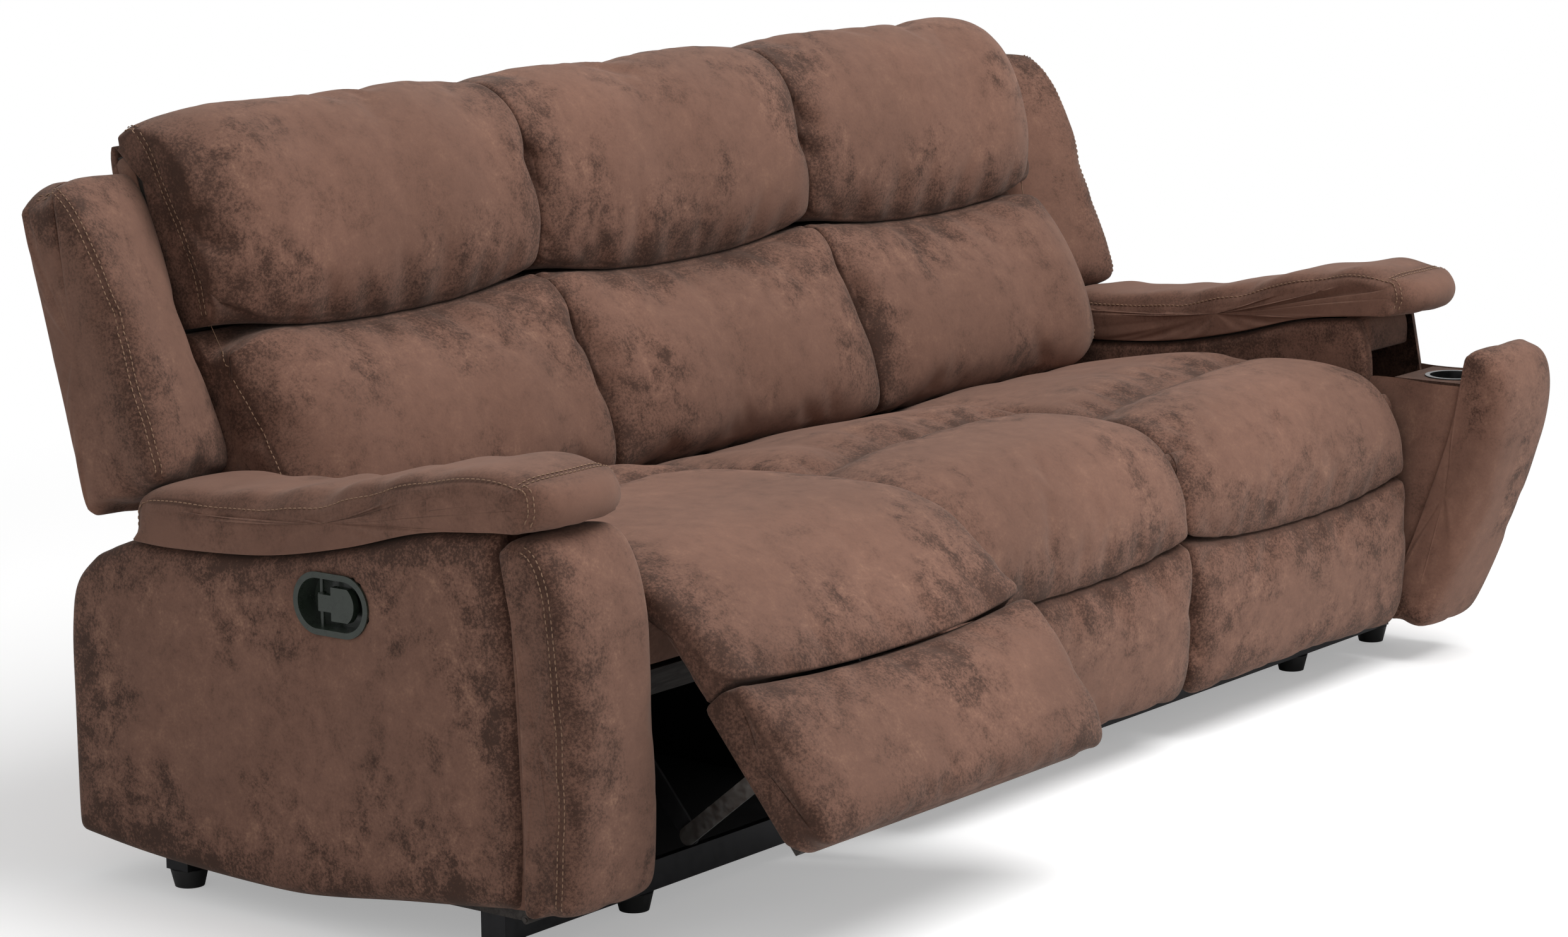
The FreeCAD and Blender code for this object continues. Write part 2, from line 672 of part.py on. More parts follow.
def middle_frame():
    side = HALF - 22
    back = PAD_BACK + FIT + BOARD
    legs = []
    for way in (-1, 1):
        a, b = sorted((way * (side - FRAME_WIDTH), way * side))
        leg_front = FRONT_RAIL - RAIL_WIDTH / 2
        legs.append(block(a, b, (leg_front, RAIL_TOP), (leg_front + 35, FRAME_FOOT)))
        legs.append(block(a, b, (back, 150), (leg_front, 200)))
        a, b = sorted((way * (side - 80), way * (side - 80 + FRAME_WIDTH)))
        foot = REAR_RAIL - RAIL_WIDTH / 2
        legs.append(slab(a, b, [(foot, RAIL_TOP), (foot + 30, RAIL_TOP), (670, FRAME_FOOT), (640, FRAME_FOOT)]))
    backing = block(-side, side, (PAD_BACK + FIT, PANEL_FOOT + 16), (back, SEAM_HEIGHT - 8))
    return seat_frame(0) + legs + [backing]


def knee_gusset(x):
    """Stretch panel that fills the bend while the footrest is part open."""
    def profile(fullness):
        tip = turned(lip_line(LIP_HEIGHT - 3) - 1, LIP_HEIGHT - 3, KNEE_AXIS, KNEE_PHOTO)
        middle, end = (turned(*p, KNEE_AXIS, KNEE_PHOTO) for p in knee_front(fullness)[0])
        gap = 3 * FIT
        return [
            (LIP_DEPTH - 1, LIP_HEIGHT - 1),
            ((LIP_DEPTH - 84, LIP_HEIGHT - 5 + 8 * fullness), (end[0] - gap, end[1] + gap)),
            ((middle[0] - gap / 2, middle[1] + 1.5 * gap), (tip[0], tip[1] + gap)),
            (lip_line(tip[1]) - 1, tip[1] + gap),
        ]
    return soft(x - HALF + 6, x + HALF - 6, profile)


def seat_nodes(side, name):
    x = side * SEAT_PITCH
    knee = KNEE_PHOTO if name == "left" else 0.0
    seam = (SEAM_DEPTH, SEAM_HEIGHT)
    tilt = (FOOTREST_SHARE - 1) * knee
    crank = swing(drive_crank(x), CRANK_AXIS, CRANK_SHARE * knee)
    links = []
    for link in extension_links(x):
        link = swing(link, ELBOW, -(CRANK_SHARE + LINK_SHARE) * knee)
        links.append(swing(link, CRANK_AXIS, CRANK_SHARE * knee))
    pad = soft(x - HALF, x + HALF, front_pad)
    board = group(footrest_board(x))
    nodes = {
        "seat_frame": group(seat_frame(x)),
        "seat_cushion": soft(x - HALF, x + HALF, end_cushion),
        "mechanism_plates": group(mechanism_plates(x)),
        "drive_crank": crank,
        "extension_links": group(links),
        "knee_pad": swing(soft(x - HALF, x + HALF, knee_pad), KNEE_AXIS, knee),
        "footrest_pad": swing(swing(pad, seam, tilt), KNEE_AXIS, knee),
        "footrest_board": swing(swing(board, seam, tilt), KNEE_AXIS, knee),
        "back_frame": group(back_frame(x)),
        "lumbar_cushion": soft(x - HALF, x + HALF, lumbar, back_plane),
        "head_cushion": soft(x - HALF, x + HALF, head, back_plane),
        "rear_cover": soft(x - HALF, x + HALF, rear_cover, back_plane),
    }
    if knee:
        nodes["knee_gusset"] = knee_gusset(x)
    return nodes


def arm_nodes(name):
    open_by = CONSOLE_TILT if name == "right" else 0.0
    axis = CONSOLE_AXIS
    def tilted(shape, degrees):
        return swing(shape, axis, -degrees)
    nodes = {
        "arm_frame": group(arm_frame()),
        "arm_inner_panel": inner_panel(),
        "arm_outer_panel": group(outer_panel()),
        "arm_cap": soft(ARM_IN - 1, ARM_OUT + 5, arm_cap),
        "arm_shoulder": shoulder(),
        "handle_bezel": handle_bezel(),
        "release_paddle": release_paddle(),
        "release_cable": release_cable(),
        "console_post": tilted(group(console_door()), open_by),
        "console_tray": tilted(group(tray()), open_by - CONSOLE_TILT),
        "cup_holder": tilted(cup_holder(), open_by - CONSOLE_TILT),
        "wing": wing(1.5 * SEAT_PITCH - SEAT_GAP / 2 + 0.5, ARM_OUT - 8),
    }
    if name == "right":
        return nodes
    return {key: shape.mirror(V(0, 0, 0), V(1, 0, 0)) for key, shape in nodes.items()}


def build():
    nodes = {
        "base_rails": group(base_rails()),
        "feet": group(feet()),
        "lower_rear_panel": block(-ARM_IN, ARM_IN, (785, 70), (793, 318)),
        "middle_seat_frame": group(middle_frame()),
        "middle_seat_cushion": soft(-HALF, HALF, middle_cushion),
        "middle_front_panel": soft(-HALF, HALF, front_pad),
        "middle_back_frame": group(back_frame(0)),
        "middle_lumbar_cushion": soft(-HALF, HALF, lumbar, back_plane),
        "middle_head_cushion": soft(-HALF, HALF, head, back_plane),
        "middle_rear_cover": soft(-HALF, HALF, rear_cover, back_plane),
    }
    for side, name in ((-1, "left"), (1, "right")):
        for key, shape in {**seat_nodes(side, name), **arm_nodes(name)}.items():
            nodes[name + "_" + key] = shape
    return nodes


os.makedirs("parts", exist_ok=True)
for node, shape in build().items():
    shape.exportStep("parts/" + node + ".step")
    solids = len(shape.Solids)
    print(f"{node:26s} solids {solids:2d}  valid {shape.isValid()}  volume {shape.Volume / 1e6:9.3f} litres")
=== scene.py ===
import json
import math

import bmesh
import bpy
import numpy as np
from bpy.props import FloatProperty, FloatVectorProperty, PointerProperty
from mathutils import Matrix, Vector
from mathutils.bvhtree import BVHTree
from mathutils.kdtree import KDTree


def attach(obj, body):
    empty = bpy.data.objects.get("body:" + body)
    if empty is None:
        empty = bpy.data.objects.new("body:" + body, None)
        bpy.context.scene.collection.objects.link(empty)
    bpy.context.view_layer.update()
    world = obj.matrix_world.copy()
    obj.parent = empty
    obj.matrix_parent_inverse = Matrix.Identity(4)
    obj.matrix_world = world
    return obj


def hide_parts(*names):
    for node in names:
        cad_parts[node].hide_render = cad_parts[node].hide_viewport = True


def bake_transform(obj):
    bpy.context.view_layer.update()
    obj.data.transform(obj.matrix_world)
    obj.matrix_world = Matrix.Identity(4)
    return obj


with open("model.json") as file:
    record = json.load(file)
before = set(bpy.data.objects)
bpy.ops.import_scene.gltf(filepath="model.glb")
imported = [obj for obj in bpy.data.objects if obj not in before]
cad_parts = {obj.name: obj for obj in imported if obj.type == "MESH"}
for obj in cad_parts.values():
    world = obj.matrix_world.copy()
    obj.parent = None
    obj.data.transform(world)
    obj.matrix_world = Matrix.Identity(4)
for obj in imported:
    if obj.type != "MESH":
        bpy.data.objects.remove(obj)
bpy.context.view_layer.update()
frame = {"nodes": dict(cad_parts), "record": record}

bl_info = {
    "name": "Reclining Sofa",
    "version": (1, 0, 0),
    "blender": (4, 5, 0),
    "location": "View3D > Sidebar > Sofa",
    "description": "Upholstery and finishes for a three-seat reclining sofa on its packed frame",
    "category": "Object",
}

# Lengths are millimetres: across, then depth behind the arm's front face, then height.
FRONT = -480.0
SEAT_PITCH = 648.0
HALF = 322.0
WIDE = 2 * HALF
ARM_IN = 975.0
ARM_OUT = 1155.0
CORE_IN = 993.0
CORE_OUT = 1128.0
KNEE_AXIS = (9.0, 489.0)
SEAM = (21.0, 311.0)
KNEE_OPEN = 52.0
CONSOLE_AXIS = (72.0, 73.0)
CONSOLE_OPEN = 22.0
BACK_TILT = math.radians(15.0)
BACK_FOOT = (783.0, 330.0)
EDGE_STATIONS = (0.0, 1.5, 5.0, 11.0, 19.0)
SEATS = {"left": -1, "middle": 0, "right": 1}
SIDES = {"left": -1, "right": 1}

# How far a cushion may swell, in millimetres.
SEAT_REACH, FOOTREST_REACH, BACK_REACH, WING_REACH, CAP_REACH, CONSOLE_REACH = 9, 14, 19, 12, 6, 4
CLOTH = {"quality": 5, "mass": 0.3, "tension_stiffness": 18, "compression_stiffness": 18,
         "shear_stiffness": 8, "bending_stiffness": 0.6, "use_pressure": True, "vertex_group_mass": "held",
         "shrink_min": -0.02}
SETTLING_FRAMES = 20

# Metres.
SEAM_FAR = 0.3
PIN_NEAR = 0.0006

# A stitch is a thread of this many sides; each ring is its share along and of the full radius.
THREAD_SIDES = 5
THREAD_RINGS = ((0.0, 0.25), (0.18, 0.9), (0.5, 1.0), (0.82, 0.9), (1.0, 0.25))
STITCH_STEPS = 8

CAMERA_AT = (-5.071, -3.824, 1.617)
CAMERA_TURN = (52.938, 10.752, -0.435)
CAMERA_LENS = 99.466
CAMERA_SHIFT = (-0.01754, 0.0054)


# Outlines

def seat_plane(depth, height):
    return depth, height


def back_plane(up, forward):
    """Depth and height of a point measured up the back and forward from its rear."""
    return (BACK_FOOT[0] + up * math.sin(BACK_TILT) - forward * math.cos(BACK_TILT),
            BACK_FOOT[1] + up * math.cos(BACK_TILT) + forward * math.sin(BACK_TILT))


def turned(point, axis, degrees):
    """A point turned about a cross axis; positive degrees swing a hanging point forward."""
    a = math.radians(degrees)
    back = point[0] - axis[0]
    down = axis[1] - point[1]
    return (axis[0] + back * math.cos(a) - down * math.sin(a),
            axis[1] - back * math.sin(a) - down * math.cos(a))


def opened(point, knee):
    return turned(point, KNEE_AXIS, knee)


def run_along(path):
    """Length covered at each point of a path."""
    return np.concatenate([[0], np.cumsum(np.linalg.norm(np.diff(path, axis=0), axis=1))])


def spaced(path, shares):
    """Points of a path at the given shares of its length."""
    run = run_along(path)
    return np.stack([np.interp(shares * run[-1], run, path[:, k]) for k in range(path.shape[1])], 1)


def curve(path, count, crowd=0.0):
    """Points along a smooth line through the path, closer together towards its ends."""
    path = np.array(path, float)
    if len(path) > 2:
        ends = np.vstack([2 * path[0] - path[1], path, 2 * path[-1] - path[-2]])
        dense = []
        for a, b, c, d in zip(ends, ends[1:], ends[2:], ends[3:]):
            t = np.linspace(0, 1, 24, endpoint=False)[:, None]
            dense.append(0.5 * (2 * b + (c - a) * t + (2 * a - 5 * b + 4 * c - d) * t ** 2
                                + (3 * b - a - 3 * c + d) * t ** 3))
        path = np.vstack(dense + [path[-1:]])
    t = np.linspace(0, 1, count)
    return spaced(path, (1 - crowd) * t + crowd * t * t * (3 - 2 * t))


def ring(*segments):
    """A closed section from its segments, each a path, a count and how it crowds at its ends."""
    return np.concatenate([curve(path, count + 1, crowd)[:-1] for path, count, crowd in segments])


def outward(points):
    ahead = np.roll(points, -1, 0) - np.roll(points, 1, 0)
    normal = np.stack([ahead[:, 1], -ahead[:, 0]], 1)
    normal /= np.maximum(np.linalg.norm(normal, axis=1), 1e-9)[:, None]
    after = np.roll(points, -1, 0)
    area = np.sum(points[:, 0] * after[:, 1] - after[:, 0] * points[:, 1])
    return normal if area > 0 else -normal


def drawn(section, draw):
    """A section pulled in at each point by that much."""
    return section - outward(section) * draw[:, None]


def weights(section, *runs):
    """A number for each point of a section from runs of start, end and value, nought elsewhere."""
    values = np.zeros(len(section))
    for start, end, value in runs:
        values[start:end] = value
    return values


def across(x0, x1, pitch=12.0):
    """Stations from side to side, close together at both edges."""
    margin = EDGE_STATIONS[-1]
    count = max(3, round((x1 - x0 - 2 * margin) / pitch))
    inner = np.linspace(x0 + margin, x1 - margin, count + 1)[1:-1]
    return np.array([x0 + e for e in EDGE_STATIONS] + list(inner) + [x1 - e for e in EDGE_STATIONS[::-1]])


def sections_across(x0, x1, make, pitch=12.0):
    """Stations and their sections, made from the share across and the distance to the nearer side."""
    xs = across(x0, x1, pitch)
    return xs, [make((x - x0) / (x1 - x0), min(x - x0, x1 - x)) for x in xs]


def across_seat(side, make, pitch=12.0):
    return sections_across(side * SEAT_PITCH - HALF, side * SEAT_PITCH + HALF, make, pitch)


def off_centre(share):
    return abs(2 * share - 1)


def rounding(distance, radius):
    """How far an edge of that radius draws in at a distance from its side."""
    t = np.clip(1 - np.asarray(distance, float) / radius, 0, 1)
    return radius * (1 - np.sqrt(1 - t ** 2))


def ripple(x, seed, low=0.004, high=0.02, waves=7):
    """An irregular wave along x, of about one unit's height."""
    rng = np.random.default_rng(seed)
    total = np.zeros_like(np.asarray(x, float))
    for _ in range(waves):
        total += math.sqrt(2 / waves) * np.sin(2 * math.pi * rng.uniform(low, high) * x + rng.uniform(0, 6.3))
    return total

def pucker_at(share, seed, high=0.016):
    """Unevenness of a seat-wide seam where its fabric is gathered."""
    return ripple(share * WIDE, seed, 0.004, high)


def body_of(name, part):
    """The body a seat's piece moves with; the middle seat is fixed."""
    return "root" if name == "middle" else f"{name}_{part}"


# Meshes

def metres(x, depth, height):
    return x / 1000, (depth + FRONT) / 1000, height / 1000


def point_tree(points):
    tree = KDTree(len(points))
    for i, point in enumerate(points):
        tree.insert(point, i)
    tree.balance()
    return tree


def add_object(name, points, faces, material):
    mesh = bpy.data.meshes.new(name)
    mesh.from_pydata(points, [], faces)
    mesh.materials.append(material)
    smooth_faces(mesh)
    piece = bpy.data.objects.new(name, mesh)
    bpy.context.scene.collection.objects.link(piece)
    return piece


def smooth_faces(mesh):
    for face in mesh.polygons:
        face.use_smooth = True


def mesh_piece(name, verts, faces, material, seams=()):
    """A mesh object from millimetre points, with each point's distance to the nearest seam in metres."""
    piece = add_object(name, [metres(*v) for v in np.asarray(verts, float)], faces, material)
    mesh = piece.data
    bm = bmesh.new()
    bm.from_mesh(mesh)
    bmesh.ops.remove_doubles(bm, verts=bm.verts, dist=1e-6)
    bmesh.ops.delete(bm, geom=[v for v in bm.verts if not v.link_faces], context="VERTS")
    bmesh.ops.recalc_face_normals(bm, faces=bm.faces)
    if bm.calc_volume(signed=True) < 0:
        bmesh.ops.reverse_faces(bm, faces=bm.faces)
    bm.to_mesh(mesh)
    bm.free()
    smooth_faces(mesh)
    away = [SEAM_FAR] * len(mesh.vertices)
    if len(seams):
        tree = point_tree([metres(*p) for p in seams])
        away = [min(tree.find(v.co)[2], SEAM_FAR) for v in mesh.vertices]
    mesh.attributes.new("seam", "FLOAT", "POINT").data.foreach_set("value", np.array(away, np.float32))
    return piece


def band(first, second):
    """Quads between two closed runs of points."""
    count = len(first)
    return [(first[i], first[(i + 1) % count], second[(i + 1) % count], second[i]) for i in range(count)]


def grid_faces(rows, columns):
    return [(i * columns + j, i * columns + j + 1, (i + 1) * columns + j + 1, (i + 1) * columns + j)
            for i in range(rows - 1) for j in range(columns - 1)]


def padded_piece(name, xs, sections, material, plane=seat_plane, seam_rows=(), caps=None, held=(), bulge=4.0,
                 shaded_ends=False):
    """A stuffed piece from closed sections across it; each cap is a run of the section's points."""
    count = len(sections[0])
    verts = [(x, *plane(*pair)) for x, section in zip(xs, sections) for pair in section]
    loops = [range(i * count, (i + 1) * count) for i in range(len(xs))]
    faces = [face for pair in zip(loops, loops[1:]) for face in band(*pair)]
    for loop, x, way in ((loops[0], xs[0], -1), (loops[-1], xs[-1], 1)):
        for cap in caps or [range(count)]:
            previous = [loop[j] for j in cap]
            rim = np.array([verts[i] for i in previous])
            centre = rim.mean(0)
            for t in (0.12, 0.4, 0.7):
                inner = rim + (centre - rim) * t
                inner[:, 0] = x + way * bulge * (1 - (1 - t) ** 3)
                verts.extend(map(tuple, inner))
                following = range(len(verts) - len(rim), len(verts))
                faces += band(previous, following)
                previous = following
            verts.append((x + way * bulge, centre[1], centre[2]))
            faces += [(a, b, len(verts) - 1) for a, b in zip(previous, [*previous[1:], previous[0]])]
    seams = [verts[loop[j]] for j in seam_rows for loop in loops]
    # The end loops count as seams here, so that painted shade darkens each end where it meets the next
    # cushion.
    if shaded_ends:
        seams += [verts[i] for loop in (loops[0], loops[-1]) for i in loop]
    piece = mesh_piece(name, verts, faces, material, seams)
    piece["pins"] = [c for j in set(held) for loop in loops for c in metres(*verts[loop[j]])]
    return piece


def plain_sheet(name, grid, material):
    """A single layer of cloth from rows of points."""
    grid = np.asarray(grid, float)
    return mesh_piece(name, grid.reshape(-1, 3), grid_faces(*grid.shape[:2]), material)


def swell(pieces, reach, pressure):
    """Fills the pieces by cloth simulation with their seams held, and keeps the shape they settle in."""
    before = []
    for piece in pieces:
        tree = point_tree(np.reshape(list(piece["pins"]), (-1, 3)))
        held = piece.vertex_groups.new(name="held")
        held.add([v.index for v in piece.data.vertices if tree.find(v.co)[2] < PIN_NEAR], 1.0, "REPLACE")
        before.append(np.array([v.co for v in piece.data.vertices]))
        cloth = piece.modifiers.new("Filling", "CLOTH")
        for key, value in CLOTH.items():
            setattr(cloth.settings, key, value)
        cloth.settings.uniform_pressure_force = pressure
        cloth.settings.effector_weights.gravity = 0
        cloth.collision_settings.use_collision = False
    scene = bpy.context.scene
    for step in range(1, SETTLING_FRAMES + 1):
        scene.frame_set(step)
    graph = bpy.context.evaluated_depsgraph_get()
    limit = reach / 1000
    for piece, first in zip(pieces, before):
        settled = piece.evaluated_get(graph).to_mesh()
        move = np.array([v.co for v in settled.vertices]) - first
        piece.evaluated_get(graph).to_mesh_clear()
        normals = np.array([v.normal for v in piece.data.vertices])
        outwards = (move * normals).sum(1)[:, None] * normals
        move = outwards + 0.3 * (move - outwards)
        far = np.maximum(np.linalg.norm(move, axis=1), 1e-9)
        place = first + move * (limit * np.tanh(far / limit) / far)[:, None]
        place[:, 0] = np.clip(place[:, 0], first[:, 0].min(), first[:, 0].max())
        piece.modifiers.clear()
        piece.vertex_groups.clear()
        piece.data.vertices.foreach_set("co", place.ravel())
        piece.data.update()
    scene.frame_set(1)


def finish_piece(piece, body=None, replaces=(), blend=None, levels=1):
    """Smooths a piece, ties it to the body it moves with or, given a blend, only bakes its placement in, and
    hides the parts it stands for.
    """
    if levels:
        smooth = piece.modifiers.new("Smooth", "SUBSURF")
        smooth.levels = smooth.render_levels = levels
        graph = bpy.context.evaluated_depsgraph_get()
        settled = bpy.data.meshes.new_from_object(piece.evaluated_get(graph))
        piece.modifiers.clear()
        piece.data = settled
        smooth_faces(settled)
    if "pins" in piece:
        del piece["pins"]
    if blend:
        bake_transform(piece)
    else:
        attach(piece, body)
    if replaces:
        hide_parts(*replaces)
    return piece


def pinch(piece, guides, depth=2.0):
    """Draws the fabric in along sewn lines and marks them as seams."""
    tree = point_tree(np.vstack([curve([metres(*p) for p in guide], 240) for guide in guides]))
    mesh = piece.data
    layer = mesh.attributes["seam"]
    for v in mesh.vertices:
        away = tree.find(v.co)[2]
        # Seam distances set here give a dark line at the seam and, further out, a band of painted shade.
        if away < 0.02:
            v.co = v.co - v.normal * (depth / 1000 * math.exp(-(away / 0.0055) ** 2))
            layer.data[v.index].value = min(layer.data[v.index].value, max(away - 0.003, 0.0))
        elif away < 0.1:
            layer.data[v.index].value = min(layer.data[v.index].value, away)
    mesh.update()


def tree_of(*pieces):
    verts, faces = [], []
    for piece in pieces:
        start = len(verts)
        verts.extend(v.co.copy() for v in piece.data.vertices)
        faces.extend([start + i for i in f.vertices] for f in piece.data.polygons)
    return BVHTree.FromPolygons(verts, faces)

def stitch_rows(name, guides, surface, body, settings, double=True):
    """One or two rows of thread along guide lines, laid on the nearest surface."""
    pitch = settings.stitch_length + settings.stitch_gap
    offsets = (-settings.row_space / 2, settings.row_space / 2) if double else (0,)
    verts, faces = [], []
    for guide in guides:
        line = curve([metres(*p) for p in guide], 200)
        count = max(2, round(float(run_along(line)[-1]) / pitch))
        line = spaced(line, np.linspace(0, 1, count * STITCH_STEPS + 1))
        hits = [surface.find_nearest(Vector(p)) for p in line]
        on = [np.array(hit[0]) for hit in hits]
        up = [np.array(hit[1]) for hit in hits]
        for offset in offsets:
            for a in range(0, len(line) - STITCH_STEPS, STITCH_STEPS):
                b = a + round(STITCH_STEPS * settings.stitch_length / pitch)
                along = on[b] - on[a]
                size = np.linalg.norm(along)
                if size < 1e-5:
                    continue
                along /= size
                side = np.cross(up[a], along)
                side /= max(np.linalg.norm(side), 1e-9)
                loops = []
                for share, wide in THREAD_RINGS:
                    j = a + (b - a) * share
                    low = int(math.floor(j))
                    high = min(low + 1, b)
                    rise = settings.thread_width * 0.35 * (1 - off_centre(share) ** 3) - 0.0002
                    centre = on[low] + (on[high] - on[low]) * (j - low) + side * offset + up[low] * rise
                    radius = settings.thread_width / 2 * wide
                    loops.append(range(len(verts), len(verts) + THREAD_SIDES))
                    for k in range(THREAD_SIDES):
                        angle = 2 * math.pi * k / THREAD_SIDES
                        verts.append(centre + (side * math.cos(angle) + up[low] * math.sin(angle)) * radius)
                for pair in zip(loops, loops[1:]):
                    faces += band(*pair)
                faces += [tuple(reversed(loops[0])), tuple(loops[-1])]
    piece = add_object(name, [tuple(v) for v in verts], faces, thread(settings))
    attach(piece, body)
    return piece


# Materials

def fill_inputs(tree, target, inputs):
    """Sets a node's inputs, or links those given as sockets."""
    for key, value in inputs.items():
        if isinstance(value, bpy.types.NodeSocket):
            tree.links.new(value, target.inputs[key])
        else:
            target.inputs[key].default_value = value


def node(tree, kind, inputs=None, **settings):
    made = tree.nodes.new(kind)
    for key, value in settings.items():
        setattr(made, key, value)
    fill_inputs(tree, made, inputs or {})
    return made


def maths(tree, operation, a, b=0.0, c=0.0):
    return node(tree, "ShaderNodeMath", {0: a, 1: b, 2: c}, operation=operation).outputs[0]


def times(tree, a, b):
    return maths(tree, "MULTIPLY", a, b)


def around_half(tree, value):
    return maths(tree, "SUBTRACT", value, 0.5)


def mixed(tree, factor, a, b):
    return node(tree, "ShaderNodeMix", {0: factor, 6: a, 7: b}, data_type="RGBA", blend_type="MIX").outputs[2]


def between(tree, value, low, high, out_low=0.0, out_high=1.0):
    limits = {"Value": value, "From Min": low, "From Max": high, "To Min": out_low, "To Max": out_high}
    return node(tree, "ShaderNodeMapRange", limits, interpolation_type="SMOOTHSTEP").outputs["Result"]


def noise(tree, where, scale, detail=3.0, rough=0.5, twist=0.0):
    inputs = {"Vector": where, "Scale": scale, "Detail": detail, "Roughness": rough, "Distortion": twist}
    return node(tree, "ShaderNodeTexNoise", inputs).outputs["Fac"]


def group_tree(name, inputs, outputs):
    tree = bpy.data.node_groups.new(name, "ShaderNodeTree")
    for label, kind, default in inputs:
        socket = tree.interface.new_socket(name=label, in_out="INPUT", socket_type=kind)
        if default is not None:
            socket.default_value = default
    for label, kind in outputs:
        tree.interface.new_socket(name=label, in_out="OUTPUT", socket_type=kind)
    return tree, tree.nodes.new("NodeGroupInput"), tree.nodes.new("NodeGroupOutput")


def nap_group():
    """Brushed suede: clouds, granular speckle, dark seam lines and painted shade darkening towards the seams.
    """
    if "Brushed nap" in bpy.data.node_groups:
        return bpy.data.node_groups["Brushed nap"]
    tree, given, out = group_tree(
        "Brushed nap",
        [("Vector", "NodeSocketVector", None), ("Seam distance", "NodeSocketFloat", 0.3),
         ("Colour", "NodeSocketColor", (0.2, 0.1, 0.08, 1)),
         ("Dark", "NodeSocketColor", (0.08, 0.04, 0.03, 1)),
         ("Light", "NodeSocketColor", (0.27, 0.16, 0.12, 1)), ("Distress and shade", "NodeSocketFloat", 0.5)],
        [("Colour", "NodeSocketColor"), ("Roughness", "NodeSocketFloat"), ("Height", "NodeSocketFloat")])
    where, seam, distress = (given.outputs[key] for key in ("Vector", "Seam distance", "Distress and shade"))
    clouds = noise(tree, where, 8.0, 3.0, 0.5, 0.5)
    mottle = noise(tree, where, 31.0, 6.0, 0.68, 0.35)
    grain = noise(tree, where, 250.0, 6.0, 0.74)
    fleck = noise(tree, where, 140.0, 6.0, 0.8)
    seam_shade_band = between(tree, seam, 0.004, 0.085, 1.0, 0.0)
    line = between(tree, seam, 0.001, 0.006, 1.0, 0.0)
    reach = maths(tree, "ADD", seam, maths(tree, "MULTIPLY_ADD", clouds, 0.4, -0.2))
    rubbed = times(tree, between(tree, reach, 0.0, 0.16, 1.0, 0.36), distress)
    total = times(tree, around_half(tree, clouds), 0.9)
    for pattern, strength in ((mottle, 2.1), (grain, 1.9)):
        total = maths(tree, "MULTIPLY_ADD", around_half(tree, pattern), strength, total)
    total = maths(tree, "MULTIPLY_ADD", total, rubbed, 0.5)
    # Painted shade: a darker band up to about 85 mm from each seam, strongest at the seam, for the shade
    # between cushions and in seam creases.
    shade = times(tree, seam_shade_band, between(tree, mottle, 0.25, 0.7, 0.08, 0.42))
    # This amount scales both the real nap contrast and the painted seam shade.
    total = maths(tree, "SUBTRACT", total, times(tree, shade, distress))
    colour = mixed(tree, between(tree, total, 0.55, 0.08), given.outputs["Colour"], given.outputs["Dark"])
    colour = mixed(tree, between(tree, total, 0.5, 0.9), colour, given.outputs["Light"])
    broad = between(tree, noise(tree, where, 2.6, 2.0, 0.5), 0.35, 0.68, 0.9, 1.1)
    tone = node(tree, "ShaderNodeHueSaturation", {"Value": broad, "Color": colour})
    tan = times(tree, between(tree, fleck, 0.65, 0.72), 0.4)
    colour = mixed(tree, tan, tone.outputs[0], (0.30, 0.155, 0.08, 1))
    fill_inputs(tree, out, {
        "Colour": mixed(tree, times(tree, line, 0.55), colour, given.outputs["Dark"]),
        "Roughness": between(tree, grain, 0.3, 0.7, 0.8, 0.95),
        "Height": maths(tree, "MULTIPLY_ADD", mottle, 0.8, times(tree, grain, 0.7))})
    return tree


def wear_group():
    """Slow changes of tone and fine marks for hard finishes."""
    if "Handled finish" in bpy.data.node_groups:
        return bpy.data.node_groups["Handled finish"]
    tree, given, out = group_tree(
        "Handled finish",
        [("Vector", "NodeSocketVector", None), ("Colour", "NodeSocketColor", (0.5, 0.5, 0.5, 1)),
         ("Variation", "NodeSocketFloat", 0.2), ("Scale", "NodeSocketFloat", 40.0),
         ("Roughness low", "NodeSocketFloat", 0.3), ("Roughness high", "NodeSocketFloat", 0.5)],
        [("Colour", "NodeSocketColor"), ("Roughness", "NodeSocketFloat"), ("Height", "NodeSocketFloat")])
    where, scale = given.outputs["Vector"], given.outputs["Scale"]
    pattern = noise(tree, where, scale, 6.0, 0.65, 0.2)
    spread = times(tree, around_half(tree, pattern), given.outputs["Variation"])
    value = maths(tree, "ADD", times(tree, spread, 2.0), 1.0)
    tone = node(tree, "ShaderNodeHueSaturation", {"Value": value, "Color": given.outputs["Colour"]})
    rough = node(tree, "ShaderNodeMapRange", {"Value": pattern, "From Min": 0.3, "From Max": 0.7,
                                              "To Min": given.outputs["Roughness low"],
                                              "To Max": given.outputs["Roughness high"]})
    fill_inputs(tree, out, {"Colour": tone.outputs[0], "Roughness": rough.outputs[0],
                            "Height": noise(tree, where, times(tree, scale, 9.0), 4.0, 0.6)})
    return tree


def new_material(name):
    made = bpy.data.materials.new(name)
    made.use_nodes = True
    made.node_tree.nodes.clear()
    output = made.node_tree.nodes.new("ShaderNodeOutputMaterial")
    shader = made.node_tree.nodes.new("ShaderNodeBsdfPrincipled")
    made.node_tree.links.new(shader.outputs[0], output.inputs["Surface"])
    return made, made.node_tree, shader


